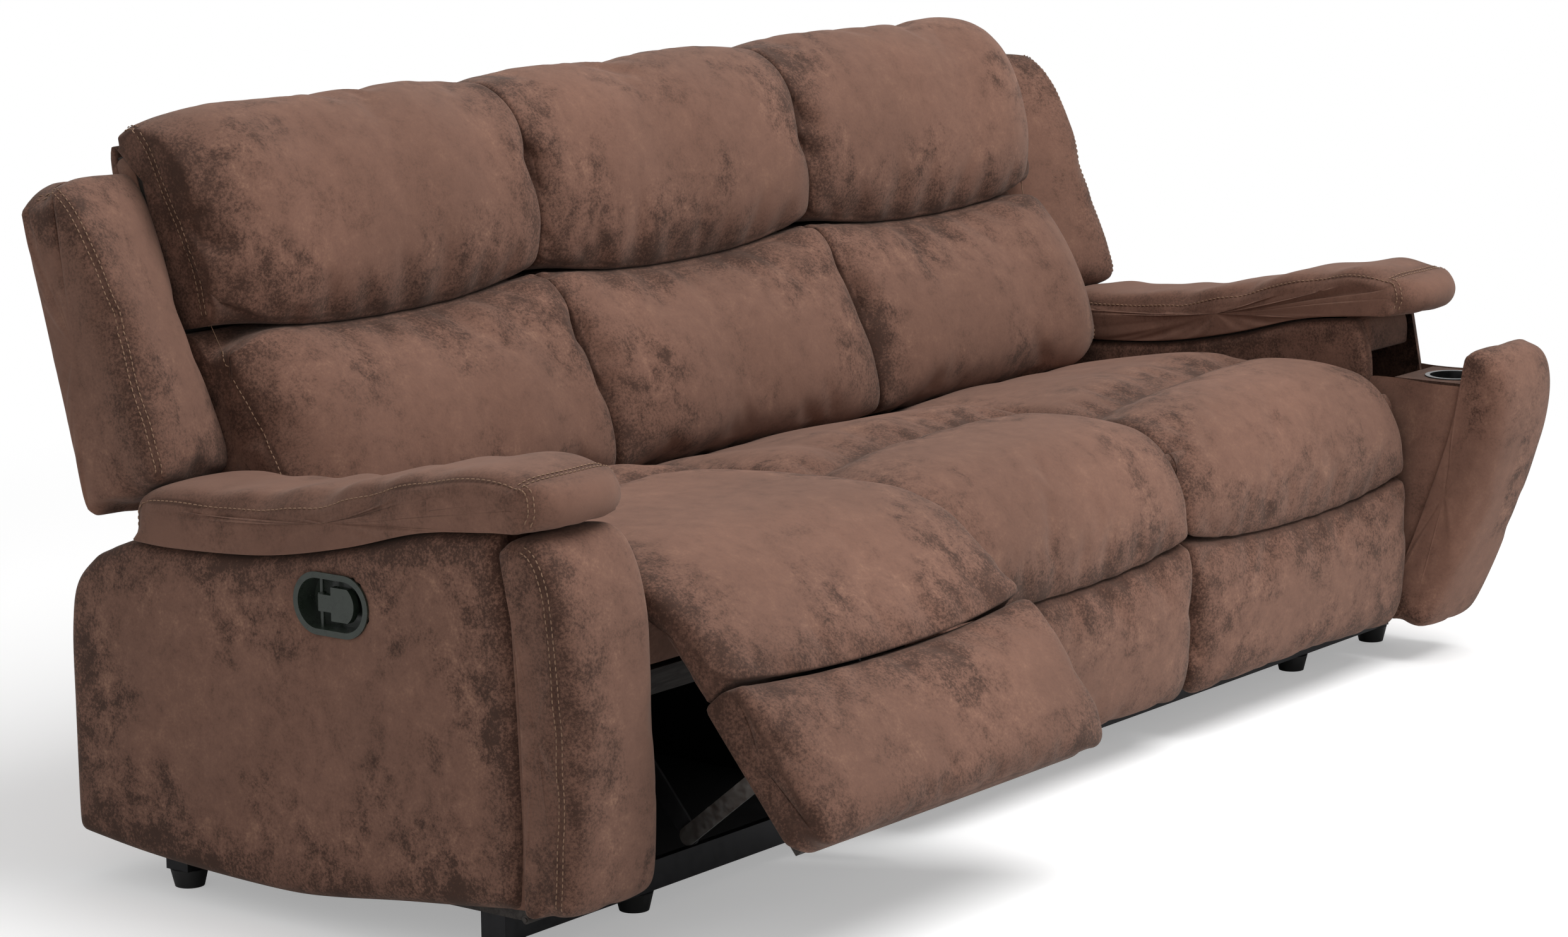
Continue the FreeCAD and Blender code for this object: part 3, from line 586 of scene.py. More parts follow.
def finished(name, group, values, bump, depth, shading, seams=False):
    """A material from a shared group of nodes, made once under its name."""
    if name in bpy.data.materials:
        return bpy.data.materials[name]
    made, tree, shader = new_material(name)
    inputs = {"Vector": node(tree, "ShaderNodeTexCoord").outputs["Object"], **values}
    if seams:
        inputs["Seam distance"] = node(tree, "ShaderNodeAttribute", attribute_name="seam").outputs["Fac"]
    surface = node(tree, "ShaderNodeGroup", inputs, node_tree=group).outputs
    relief = node(tree, "ShaderNodeBump", {"Strength": bump, "Distance": depth, "Height": surface["Height"]})
    fill_inputs(tree, shader, {"Base Color": surface["Colour"], "Roughness": surface["Roughness"],
                               "Normal": relief.outputs[0], **shading})
    return made


def suede(name, settings, distress):
    # The distress amount also sets how strongly painted shade darkens towards the seams.
    colours = {"Colour": settings.suede, "Dark": settings.suede_dark, "Light": settings.suede_light}
    values = {key: (*colour, 1) for key, colour in colours.items()}
    return finished(name, nap_group(), {**values, "Distress and shade": distress}, 0.25, 0.0012, {
        "Specular IOR Level": 0.25, "Sheen Weight": 0.12, "Sheen Roughness": 0.6,
        "Sheen Tint": (0.9, 0.75, 0.65, 1)}, seams=True)


def hard(name, colour, variation, scale, rough, metallic, bump, coat=0.0):
    values = {"Colour": (*colour, 1), "Variation": variation, "Scale": scale, "Roughness low": rough[0],
              "Roughness high": rough[1]}
    return finished(name, wear_group(), values, bump, 0.0006, {"Metallic": metallic, "Coat Weight": coat})


def wood_grain(name, colour, dark):
    made, tree, shader = new_material(name)
    where = node(tree, "ShaderNodeTexCoord").outputs["Object"]
    stretched = node(tree, "ShaderNodeMapping", {"Vector": where, "Scale": (6.0, 60.0, 60.0)}).outputs[0]
    rings = noise(tree, stretched, 1.6, 6.0, 0.6, 1.2)
    pores = noise(tree, stretched, 9.0, 3.0, 0.5)
    tone = between(tree, maths(tree, "ADD", rings, times(tree, pores, 0.3)), 0.45, 0.85)
    relief = node(tree, "ShaderNodeBump", {"Strength": 0.2, "Distance": 0.0008, "Height": pores})
    fill_inputs(tree, shader, {"Base Color": mixed(tree, tone, (*colour, 1), (*dark, 1)),
                               "Roughness": between(tree, rings, 0.3, 0.7, 0.55, 0.75),
                               "Normal": relief.outputs[0]})
    return made


def cover(settings):
    return suede("Suede", settings, 0.8)


def cover_worn_shaded(settings):
    """The same suede, more distressed and with stronger painted seam shade, for the darkest places, most of
    which lie in shade.
    """
    return suede("Suede worn and shaded", settings, 1.05)


def cover_smooth_less_shaded(settings):
    """The same suede, less distressed and with weaker painted seam shade, for the least marked places, the
    lit arm caps.
    """
    return suede("Suede smooth, less shaded", settings, 0.42)


def thread(settings):
    return hard("Thread", settings.thread, 0.4, 400.0, (0.6, 0.8), 0.0, 0.3)


# Black cloth: the real dust cover, and also the upright sheets that are painted shade inside the base.
def lining():
    return hard("Black lining and shade", (0.012, 0.012, 0.012), 0.3, 500.0, (0.85, 0.95), 0.0, 0.4)


# Sizes and colours

COLOUR = {"subtype": "COLOR", "size": 3, "min": 0, "max": 1}
LENGTH = {"unit": "LENGTH"}


class SofaSettings(bpy.types.PropertyGroup):
    suede: FloatVectorProperty(name="Suede", description="Main colour of the suede",
                               default=(0.180, 0.0895, 0.062), **COLOUR)
    # The dark colour also carries the painted shade towards the seams.
    suede_dark: FloatVectorProperty(name="Suede, dark",
                                    description="Colour of the mottling at seams and edges",
                                    default=(0.050, 0.0212, 0.013), **COLOUR)
    suede_light: FloatVectorProperty(name="Suede, light", description="Colour of the raised grain",
                                     default=(0.285, 0.153, 0.102), **COLOUR)
    thread: FloatVectorProperty(name="Thread", description="Colour of the topstitching",
                                default=(0.25, 0.145, 0.088), **COLOUR)
    stitch_length: FloatProperty(name="Stitch length", description="Length of one stitch", default=0.0065,
                                 **LENGTH)
    stitch_gap: FloatProperty(name="Stitch gap", description="Space between stitches", default=0.0018,
                              **LENGTH)
    thread_width: FloatProperty(name="Thread width", description="Thickness of the thread", default=0.0018,
                                **LENGTH)
    row_space: FloatProperty(name="Row spacing", description="Space between two rows of topstitching",
                             default=0.008, **LENGTH)
    filling: FloatProperty(name="Filling pressure", description="How hard the cushions are stuffed",
                           default=3.0)
    lamp_power: FloatProperty(name="Lamp power", description="Power of the large studio lamp", unit="POWER",
                              default=240.0)
    floor: FloatVectorProperty(name="Floor", description="Colour of the studio floor",
                               default=(0.84, 0.84, 0.84), **COLOUR)


def settings_of(context):
    return context.scene.reclining_sofa


# Seats

ARC_SEAM = {
    "left": ((0, 300), (0.06, 345), (0.16, 392), (0.4, 425), (0.745, 430), (0.85, 416), (0.92, 384),
             (0.97, 344), (1, 325)),
    "middle": ((0, 232), (0.05, 250), (0.112, 276), (0.346, 310), (0.53, 320), (0.68, 321), (0.90, 318),
               (0.99, 271), (1, 265)),
    "right": ((0, 200), (0.045, 214), (0.286, 240), (0.484, 263), (0.64, 279), (0.893, 296), (0.972, 279),
              (1, 262)),
}
SEAM_GROOVE = (1.0, 3.0, 7.0, 3.0, 1.0)


def knee_sag(share):
    """How far the seam under the knee hangs between its ends."""
    return 24 * (1 - off_centre(share) ** 2.2)


def seat_section(name, share, distance, seed):
    """One section of a seat cover: top, lip, knee and the hidden faces under them."""
    knee = KNEE_OPEN if name == "left" else 0.0
    arc = float(np.interp(share, *zip(*ARC_SEAM[name])))
    drop = knee_sag(share)
    hem = [(15, 352 - 0.7 * drop), (13, 330 - drop), (17, 318 - drop + pucker_at(share, seed))]
    low = opened((27, 312.5 - drop), knee)
    if name == "left":
        crest = [(arc, 486), (arc - 18, 494), (arc - 70, 499), (230, 502), (143, 504), (79, 502), (34, 491),
                 (-6, 474), opened((12, 402), knee), opened((12, 375), knee)]
    else:
        crest = [(arc, 482), (arc - 16, 489), (arc * 0.6 + 52, 494), (150, 493), (106, 486), (76, 470),
                 (50, 444), (28, 405), (18, 375)]
    crest += [opened(p, knee) for p in hem]
    top = [(688, 414), (625, 434), (550, 456), (arc + 110, 484), (arc + 56, 491), (arc + 18, 487), crest[0]]
    tuck = [low, opened((48, 318), knee), opened((78, 322), knee)]
    face = [tuck[-1], opened((55, 436), knee)]
    crevice = [face[-1], ((face[-1][0] + 70) / 2, 443), (70, 436)]
    section = ring(([(688, 337), (688, 414)], 4, 0), (top, 26, 0.45), (crest + [low], 42, 0.45), (tuck, 4, 0),
                   (face, 12, 0), (crevice, 3, 0), ([(70, 436), (100, 337)], 8, 0),
                   ([(100, 337), (688, 337)], 24, 0))
    crown = weights(section, (6, 50, 1), (50, 74, np.linspace(1, 0.3, 24)))
    draw = weights(section, (4, 72, 1), (72, 88, 0.7)) * rounding(distance, 15)
    draw += crown * 17 * off_centre(share) ** 4
    draw[28:33] += SEAM_GROOVE
    draw[8:29] -= 1.6 * ripple(share * WIDE, seed + 5, 0.002, 0.008)
    return drawn(section, draw)


class SOFA_OT_seats(bpy.types.Operator):
    """Three seat covers, each from its rear over the front lip down to the knee seam"""
    bl_idname = "sofa.seats"
    bl_label = "Seats"

    def execute(self, context):
        settings = settings_of(context)
        made = {}
        caps = [range(50, 91), [*range(90, 123), *range(0, 51)]]
        held = [0, 1, 2, 3, 4, 30, 72, 73, 74, 75, *range(84, 123)]
        for number, (name, side) in enumerate(SEATS.items()):
            xs, sections = across_seat(side, lambda share, distance: seat_section(
                name, share, distance, 11 * number + 3))
            made[name] = padded_piece(name + "_seat_cover", xs, sections, cover(settings), seam_rows=(30, 72),
                                      caps=caps, held=held, bulge=1.5, shaded_ends=True)
        swell(list(made.values()), SEAT_REACH, settings.filling)
        finish_piece(made["left"], None, ("left_seat_cushion", "left_knee_pad", "left_knee_gusset"), blend=(
            "left_seat", "left_knee", metres(-SEAT_PITCH, 66, 460), metres(-SEAT_PITCH, 0, 452)))
        finish_piece(made["middle"], "root", ("middle_seat_cushion",))
        finish_piece(made["right"], None, ("right_seat_cushion", "right_knee_pad"), blend=(
            "right_seat", "right_knee", metres(SEAT_PITCH, 73, 448), metres(SEAT_PITCH, 53, 443)))
        return {"FINISHED"}


# Footrests and the middle front panel

def front_section(share, distance, seed, shorter=0.0):
    drop = knee_sag(share)
    lift = 20 * max(0.0, (off_centre(share) - 0.9) / 0.1) ** 2 + shorter
    front = [(27, 311.5 - drop), (17, 306 - drop + pucker_at(share, seed)), (12, 290 - drop),
             (10, 262 - 0.6 * drop), (9, 225), (10, 185), (14, 136), (19, 94 + lift), (27, 72 + lift),
             (40, 65 + lift), (56, 74 + lift)]
    section = ring((front, 26, 0.4), ([front[-1], (84, 80 + lift)], 3, 0),
                   ([(84, 80 + lift), (84, 309)], 12, 0), ([(84, 309), front[0]], 4, 0))
    return drawn(section, weights(section, (0, 28, rounding(distance, 13) + 5 * off_centre(share) ** 4)))


class SOFA_OT_footrests(bpy.types.Operator):
    """Padding of both footrests and of the fixed middle front"""
    bl_idname = "sofa.footrests"
    bl_label = "Footrests"

    def execute(self, context):
        settings = settings_of(context)
        made = {}
        for number, (name, side) in enumerate(SEATS.items()):
            shorter = 8.0 if name == "left" else 0.0
            xs, sections = across_seat(side, lambda share, distance: front_section(
                share, distance, 40 + number, shorter))
            if name == "left":
                sections = [np.array([opened(turned(p, SEAM, -0.25 * KNEE_OPEN), KNEE_OPEN) for p in section])
                            for section in sections]
            made[name] = padded_piece(name + "_front_padding", xs, sections, cover(settings),
                                      seam_rows=(0, 1, 24, 26), held=[0, *range(26, 45)], bulge=1.5,
                                      shaded_ends=True)
        swell(list(made.values()), FOOTREST_REACH, settings.filling)
        for name, piece in made.items():
            stands_for = "middle_front_panel" if name == "middle" else name + "_footrest_pad"
            finish_piece(piece, body_of(name, "footrest"), (stands_for,))
        return {"FINISHED"}


# Backs

def sag_of(share):
    return 31 * (1 - off_centre(share) ** 2.4)


def outer_fall(share, way, amount):
    """How far the outer end of an end seat's back cushion rounds away towards its wing."""
    if not way:
        return 0.0
    away = (1 - share if way > 0 else share) * WIDE
    return amount * max(0.0, 1 - away / 120) ** 2


def back_wave(share, seed, count):
    """Slow hollows down the middle of a back cushion's front."""
    return 2.0 * ripple(share * WIDE, seed + 9, 0.0015, 0.006) * np.sin(np.linspace(0, math.pi, count))


def lumbar_section(share, distance, seed, way=0):
    seam = 390 - sag_of(share)
    pucker = pucker_at(share, seed, 0.014)
    front = [(64, 130), (62, 200), (74, 224), (110, 236), (170, 238), (240, 228), (seam - 70, 207),
             (seam - 34, 192 + pucker), (seam - 12, 175 + 2 * pucker), (seam, 148)]
    section = ring((front, 40, 0.4), ([(seam, 148), (384, 100), (388, 59)], 6, 0),
                   ([(388, 59), (64, 59)], 22, 0), ([(64, 59), (64, 130)], 5, 0))
    draw = weights(section, (0, 44, 1), (69, 73, 0.5)) * (
        rounding(distance, 11) + 7 * off_centre(share) ** 4 + outer_fall(share, way, 34))
    draw[6:36] -= back_wave(share, seed, 30)
    return drawn(section, draw)


def head_section(share, distance, seed, way=0):
    seam = 390.5 - sag_of(share)
    pucker = pucker_at(share, seed, 0.014)
    side = off_centre(share)
    top = 692 - 8 * side ** 4
    front = [(seam, 148), (seam + 8, 166 + 1.5 * pucker), (seam + 34, 178 + pucker), (465, 188), (530, 190),
             (590, 184), (636, 164), (670, 128), (top - 4, 92), (top, 58), (top - 8, 34), (671, 22),
             (646, 18)]
    section = ring((front, 50, 0.25), ([(646, 18), (642, 58)], 4, 0), ([(642, 58), (394, 58)], 17, 0),
                   ([(394, 58), (390, 100), (seam, 148)], 6, 0))
    fall = outer_fall(share, way, 28) * np.interp(np.arange(len(section)), (0, 30, 44), (1, 1, 0))
    draw = weights(section, (0, 1, 0.6), (1, 50, 1), (50, 52, 0.4)) * (
        rounding(distance, 10) + 5 * side ** 4 + fall)
    draw[40:52] = np.minimum(draw[40:52], 12)
    draw[4:40] -= back_wave(share, seed, 36)
    return drawn(section, draw)


def back_line(x, points):
    """A line across the back's plane at one station."""
    return [(x, *back_plane(u, v)) for u, v in points]


class SOFA_OT_backs(bpy.types.Operator):
    """Lumbar and head cushions of the three seats, with topstitching up the outer edges"""
    bl_idname = "sofa.backs"
    bl_label = "Backs"

    def execute(self, context):
        settings = settings_of(context)
        made = {}
        for number, (name, side) in enumerate(SEATS.items()):
            for kind, make, seams, hidden in (("lumbar", lumbar_section, (0, 38, 40), range(40, 73)),
                                              ("head", head_section, (0, 2, 48), range(48, 77))):
                xs, sections = across_seat(side, lambda share, distance: make(
                    share, distance, 60 + number, side))
                made[name, kind] = padded_piece(f"{name}_{kind}_cover", xs, sections, cover(settings),
                                                back_plane, seam_rows=seams, held=[0, *hidden], bulge=1.5,
                                                shaded_ends=True)
        swell(list(made.values()), BACK_REACH, settings.filling)
        for (name, kind), piece in made.items():
            finish_piece(piece, body_of(name, "back"), (f"{name}_{kind}_cushion",))
        for name, side in SIDES.items():
            surface = tree_of(made[name, "head"], made[name, "lumbar"])
            for kind, points in (
                    ("head", ((684, 40), (676, 62), (640, 84), (577, 98), (520, 112), (458, 122),
                              (402, 120))),
                    ("lumbar", ((380, 119), (330, 140), (275, 160), (220, 178), (177, 192), (100, 206),
                                (72, 200)))):
                line = back_line(side * 967, points)
                pinch(made[name, kind], [line])
                stitch_rows(f"{name}_{kind}_stitching", [line], surface, name + "_back", settings,
                            double=kind == "head")
        return {"FINISHED"}


def rear_section(distance):
    outer = [(20, 17.7), (19, 5), (60, -2), (180, -6), (340, -8), (520, -4), (640, 2), (664, 17.7)]
    section = ring((outer, 30, 0.2), ([(664, 17.7), (20, 17.7)], 20, 0))
    return drawn(section, weights(section, (1, 30, rounding(distance, 9))))


class SOFA_OT_rear(bpy.types.Operator):
    """Rear covers of the backs and the panel under them"""
    bl_idname = "sofa.rear"
    bl_label = "Rear"

    def execute(self, context):
        settings = settings_of(context)
        made = {}
        for name, side in SEATS.items():
            xs, sections = across_seat(side, lambda _, distance: rear_section(distance), 24)
            made[name] = padded_piece(name + "_rear_padding", xs, sections, cover(settings), back_plane,
                                      seam_rows=(0, 30), held=[0, *range(30, 50)], bulge=0.5)
        for name, piece in made.items():
            finish_piece(piece, body_of(name, "back"), (name + "_rear_cover",))
            for label, way in SIDES.items():
                short = 24 if way == SEATS[name] else 0
                edge = [(24, 4), (24, 56), (380, 60 - short / 3), (640 - short, 60 - short / 2),
                        (660 - short, 52 - short / 2), (664 - short, 34), (654 - short, 14), (636 - short, 4)]
                x = SEATS[name] * SEAT_PITCH + way * (HALF - 1.9)
                strip = padded_piece(f"{name}_back_{label}_edge", (x - 1.5, x, x + 1.5),
                                     [curve(edge, 48)] * 3, cover_worn_shaded(settings), back_plane, bulge=0.3)
                finish_piece(strip, body_of(name, "back"), levels=0)
        foot, hem = np.array((791.0, 306.0)), np.array(back_plane(40, 12))
        for name, side in SEATS.items():
            x = side * SEAT_PITCH
            grid = [[(x + away, *(foot + (hem - foot) * t + (4 * math.sin(math.pi * t), 0)))
                     for away in np.linspace(-HALF - 1.5, HALF + 1.5, 49)] for t in np.linspace(0, 1, 13)]
            skirt = plain_sheet(name + "_rear_skirt", grid, cover_worn_shaded(settings))
            moving = None if name == "middle" else ("root", name + "_back", metres(x, *foot), metres(x, *hem))
            finish_piece(skirt, "root", blend=moving)
        xs = across(-ARM_IN, ARM_IN, 40)
        sections = []
        for x in xs:
            bow = 1.5 * float(ripple(x, 5, 0.001, 0.004))
            outer = [(786, 71), (793, 74), (794.5 + bow, 120), (795 + bow, 200), (794.5 + bow, 290),
                     (793, 316), (786, 318)]
            sections.append(ring((outer, 14, 0.3), ([(786, 318), (785, 71)], 6, 0)))
        lower = padded_piece("lower_rear_covering", xs, sections, cover(settings), seam_rows=(0, 14),
                             bulge=0.2)
        finish_piece(lower, "root", ("lower_rear_panel",))
        return {"FINISHED"}


# Wings

WING_IN, WING_OUT = 970.5, 1147.0


def wing_section(share, distance):
    """Section of a wing in the back's plane; share runs from the cushion to the outer side."""
    def front(u):
        inner = np.interp(u, (194, 288, 396, 521, 636), (112, 94, 78, 56, 32))
        outer = np.interp(u, (209, 338, 441, 529, 618), (160, 151, 141, 120, 84))
        return float(inner + (outer - inner) * share ** 0.8)
    foot = 168
    top = 620 - 10 * (1 - share) - 20 * max(0.0, 1 - distance / 62) ** 2.2
    path = [(foot + 26, front(210) - 26), (foot + 36, front(215) - 7)]
    path += [(u, front(u)) for u in (240, 338, 441, 529, 575)]
    path += [(598, front(598) - 6), (612, front(606) - 17), (top - 1, front(618) - 38)]
    section = ring(([(foot, 5), (foot + 12, 40), path[0]], 10, 0.1), (path, 34, 0.3),
                   ([path[-1], (top, 44), (top - 2, 14), (top - 10, 5)], 10, 0.1),
                   ([(top - 10, 5), (foot, 5)], 34, 0))
    corner = np.clip((section[:, 0] - 530) / 90, 0, 1) ** 2 * max(0.0, 1 - distance / 75) ** 2
    return drawn(section, weights(section, (0, 54, 1)) * (rounding(distance, 18) + 9 * corner))


class SOFA_OT_wings(bpy.types.Operator):
    """The wings that join the reclining backs to the arms, with topstitching along their front edges"""
    bl_idname = "sofa.wings"
    bl_label = "Wings"

    def execute(self, context):
        settings = settings_of(context)
        made = {}
        for name, side in SIDES.items():
            xs, sections = sections_across(WING_IN, WING_OUT, lambda share, _: wing_section(
                share, (1 - share) * (WING_OUT - WING_IN)), 14)
            made[name] = padded_piece(name + "_wing_cover", side * xs, sections, cover(settings), back_plane,
                                      seam_rows=(10, 44), held=[*range(54, 88), 10], bulge=side * 6.0)
        swell(list(made.values()), WING_REACH, settings.filling * 0.6)
        for name, side in SIDES.items():
            piece = finish_piece(made[name], name + "_back", (name + "_wing",))
            line = back_line(side * 1143, ((614, 30), (612, 68), (580, 92), (529, 112), (441, 133),
                                           (338, 144), (225, 152), (206, 148)))
            pinch(piece, [line])
            stitch_rows(name + "_wing_stitching", [line], tree_of(piece), name + "_back", settings)
        return {"FINISHED"}


# Arms

CAP_LINE = ((735, 479), (649, 478), (490, 488), (350, 514), (222, 548), (107, 562))


def cap_section(share, distance, seed):
    side = off_centre(share)
    pull = 26 * side ** 2.6
    top = [(58, 565), (34 + pull, 567), (19 + pull, 578), (14 + pull, 598), (24 + pull, 617), (52, 627),
           (92, 632), (140, 632), (200, 623), (290, 604), (370, 584), (450, 569), (520, 560), (600, 554),
           (680, 551), (715, 545), (732, 528), (736, 505), (735, 480)]
    bottom = [(735, 480)] + [(d, h + 0.5) for d, h in CAP_LINE[1:]] + [(58, 565)]
    section = ring((top, 76, 0.1), (bottom, 40, 0))
    draw = weights(section, (2, 76, rounding(distance, 24) + 5 * side ** 3))
    draw[10:70] -= 2.2 * ripple(np.arange(60) * 13.0, seed, 0.004, 0.012) * (0.4 + 0.6 * side)
    return drawn(section, draw)


def patch(bottom, top, front, rear):
    """A grid filled in between four edge lines, row by row from the bottom."""
    u = np.linspace(0, 1, len(bottom))[None, :, None]
    v = np.linspace(0, 1, len(front))[:, None, None]
    ruled = (1 - v) * bottom[None] + v * top[None] + (1 - u) * front[:, None] + u * rear[:, None]
    return ruled - ((1 - u) * (1 - v) * bottom[0] + u * (1 - v) * bottom[-1]
                    + (1 - u) * v * top[0] + u * v * top[-1])


def edge_distance(grid):
    """How far each point of a flat grid is from the grid's outline."""
    rim = np.concatenate([grid[0], grid[-1], grid[:, 0], grid[:, -1]])
    return np.min([np.linalg.norm(grid - point, axis=2) for point in rim], axis=0)


def arm_panel(name, side, grid, outside, back, material, keep=None):
    """A panel from a flat grid: outside(i, j) is where its face stands, and its rim runs straight to back."""
    rows, columns = grid.shape[:2]
    verts = [(side * outside[i, j], *grid[i, j]) for i in range(rows) for j in range(columns)]
    faces = [face for face in grid_faces(rows, columns) if keep is None or all(keep.flat[i] for i in face)]
    last = (rows - 1) * columns
    rim = [*range(columns), *range(2 * columns - 1, last + columns, columns),
           *range(last + columns - 2, last - 1, -1), *range(last - columns, 0, -columns)]
    verts += [(side * back, *verts[i][1:]) for i in rim]
    faces += band(rim, range(rows * columns, len(verts)))
    return mesh_piece(name, verts, faces, material, [verts[i] for i in rim])


def handle_gap(depth, height, wide=2.0):
    """Signed distance from the outline of the handle's slot."""
    half = (118 - 72) / 2
    return math.hypot(max(abs(depth - 378) - half, 0), height - 437) - 36 - wide


def side_pad(name, side, settings):
    """Outer side of an arm: one convex pad with a slot for the release handle."""
    grid = patch(
        curve([(79, 82), (180, 70), (290, 58), (400, 44), (480, 38), (600, 40), (740, 48), (862, 62)],
              66, 0.2),
        curve([(105, 560), (222, 548), (350, 514), (490, 488), (649, 478), (735, 478), (812, 450)], 66, 0.2),
        curve([(79, 82), (72, 170), (73, 250), (80, 415), (105, 560)], 44, 0.3),
        curve([(862, 62), (866, 100), (867, 240), (866, 345), (852, 410), (812, 450)], 44, 0.3))
    near = edge_distance(grid)
    keep, outside = np.zeros(near.shape, bool), np.zeros(near.shape)
    step = 0.01
    for i, j in np.ndindex(near.shape):
        d, h = grid[i, j]
        away = handle_gap(d, h)
        if abs(away) < 7:
            slope = np.array([handle_gap(d + step, h) - away, handle_gap(d, h + step) - away]) / step
            d, h = grid[i, j] = grid[i, j] - slope * away
            away = 0.0
        keep[i, j] = away > -1e-6
        away = max(away, 0)
        puff = 7 * (1 - math.exp(-near[i, j] / 70)) * (1 - math.exp(-away / 28))
        dip = 1.6 * math.exp(-away / 16)
        wave = 1.3 * ripple(d * 0.8 + h * 0.6, 77, 0.002, 0.008) * min(1, near[i, j] / 90) * min(1, away / 60)
        outside[i, j] = ARM_OUT - rounding(near[i, j], 19) + puff - dip + wave
    return arm_panel(name + "_arm_side_padding", side, grid, outside, CORE_OUT, cover_worn_shaded(settings), keep)


def inner_pad(name, side, settings):
    """Inner side of an arm, beside the seat."""
    grid = patch(
        curve([(98, 74), (838, 74)], 60),
        curve([(121, 557), (222, 545), (350, 511), (490, 485), (649, 475), (734, 475), (810, 434)], 60, 0.2),
        curve([(98, 74), (96, 300), (97, 470), (104, 520), (121, 557)], 34, 0.3),
        curve([(838, 74), (839, 200), (839, 340), (826, 395), (810, 434)], 34, 0.3))
    near = edge_distance(grid)
    wave = 0.8 * ripple(grid[..., 0] - grid[..., 1] * 0.5, 21, 0.003, 0.012) * np.minimum(1, near / 60)
    return arm_panel(name + "_arm_inner_padding", side, grid, ARM_IN + rounding(near, 8) + 0.4 - wave,
                     CORE_IN - 0.3, cover(settings))


def rear_wrap(name, side, settings):
    """Fabric across the rear of an arm, from the floor edge up under the cap."""
    path = [(865, 76), (866.5, 200), (866.5, 345), (856, 410), (812, 449), (775, 466), (742, 476)]
    inner = [(742, 466), (806, 438), (845, 402), (855, 340), (855, 76)]
    section = ring((path, 40, 0.1), ([path[-1], inner[0]], 2, 0), (inner, 30, 0),
                   ([inner[-1], path[0]], 2, 0))
    xs = across(CORE_IN, CORE_OUT, 16)
    return padded_piece(name + "_arm_rear_padding", side * xs, [section] * len(xs), cover_worn_shaded(settings),
                        seam_rows=(0, 40), bulge=side * 0.1)


def shoulder_section(distance):
    draw = float(rounding(distance, 10))
    front = [(107 + draw, 500), (106 + draw, 530), (112 + draw, 553 - draw), (126, 559 - draw), (150, 556)]
    return ring((front, 12, 0.2), ([(150, 556), (150, 500)], 4, 0), ([(150, 500), front[0]], 3, 0))


class SOFA_OT_arms(bpy.types.Operator):
    """Arm caps, side panels, inner panels and rear panels"""
    bl_idname = "sofa.arms"
    bl_label = "Arms"

    def execute(self, context):
        settings = settings_of(context)
        caps = {}
        for number, (name, side) in enumerate(SIDES.items()):
            xs, sections = sections_across(ARM_IN - 1, ARM_OUT + 5, lambda share, distance: cap_section(
                share, distance, 90 + number))
            caps[name] = padded_piece(name + "_cap_cover", side * xs, sections, cover_smooth_less_shaded(settings),
                                      seam_rows=(0, 76), held=[0, 1, *range(76, 116)], bulge=side * 2.0)
        swell(list(caps.values()), CAP_REACH, settings.filling)
        top_line = ((720, 500), (719, 526), (700, 537), (567, 543), (449, 556), (370, 574), (295, 594),
                    (220, 613), (146, 625), (92, 628), (62, 624))
        end_line = ((60, 634), (48, 622), (42, 596), (46, 574))
        for name, side in SIDES.items():
            cap = finish_piece(caps[name], "root", (name + "_arm_cap",))
            surface = tree_of(cap)
            sides, ends = ([[(side * x, d, h) for d, h in line] for x in (ARM_OUT + 1, ARM_IN + 3)]
                           for line in (top_line, end_line))
            ends.append([(side * x, d, h) for x, d, h in (
                (ARM_OUT - 4, 64, 628), (ARM_OUT - 34, 58, 632), (1065, 54, 634), (ARM_IN + 38, 58, 632),
                (ARM_IN + 8, 64, 628))])
            pinch(cap, sides + ends, 1.6)
            # Stretches the cap's seam distances, for a narrower band of painted seam shade on the lit cap.
            for item in cap.data.attributes["seam"].data:
                item.value *= 1.9
            stitch_rows(name + "_cap_stitching", sides, surface, "root", settings, double=False)
            stitch_rows(name + "_cap_end_stitching", ends, surface, "root", settings)
            finish_piece(side_pad(name, side, settings), "root", (name + "_arm_outer_panel",))
            finish_piece(inner_pad(name, side, settings), "root", (name + "_arm_inner_panel",))
            finish_piece(rear_wrap(name, side, settings), "root")
            xs, sections = sections_across(CORE_IN, CORE_OUT, lambda _, distance: shoulder_section(distance))
            block = padded_piece(name + "_shoulder_cover", side * xs, sections, cover(settings),
                                 seam_rows=(0,), bulge=side * 0.2)
            finish_piece(block, "root", (name + "_arm_shoulder",))
        return {"FINISHED"}


# Consoles

def at_door(name, points):
    """Points of a console door where the photograph has it: the right one stands open."""
    angle = -CONSOLE_OPEN if name == "right" else 0.0
    return np.array([turned(p, CONSOLE_AXIS, angle) for p in points])


def post_section(share, distance):
    front = [(98, 540), (92, 552), (70, 557), (46, 555), (24, 536), (6, 500), (-6, 452), (-12, 402),
             (-18, 330), (-19, 262), (-18, 190), (-15, 130), (-10, 100), (2, 84), (24, 79)]
    section = ring((front, 52, 0.1), ([(24, 79), (66, 79)], 4, 0),
                   ([(66, 79), (66, 250), (74, 415), (98, 540)], 30, 0))
    weight = weights(section, (1, 3, 0.5), (3, 54, 1))
    return drawn(section, weight * (rounding(distance, 18) + 8 * off_centre(share) ** 3))


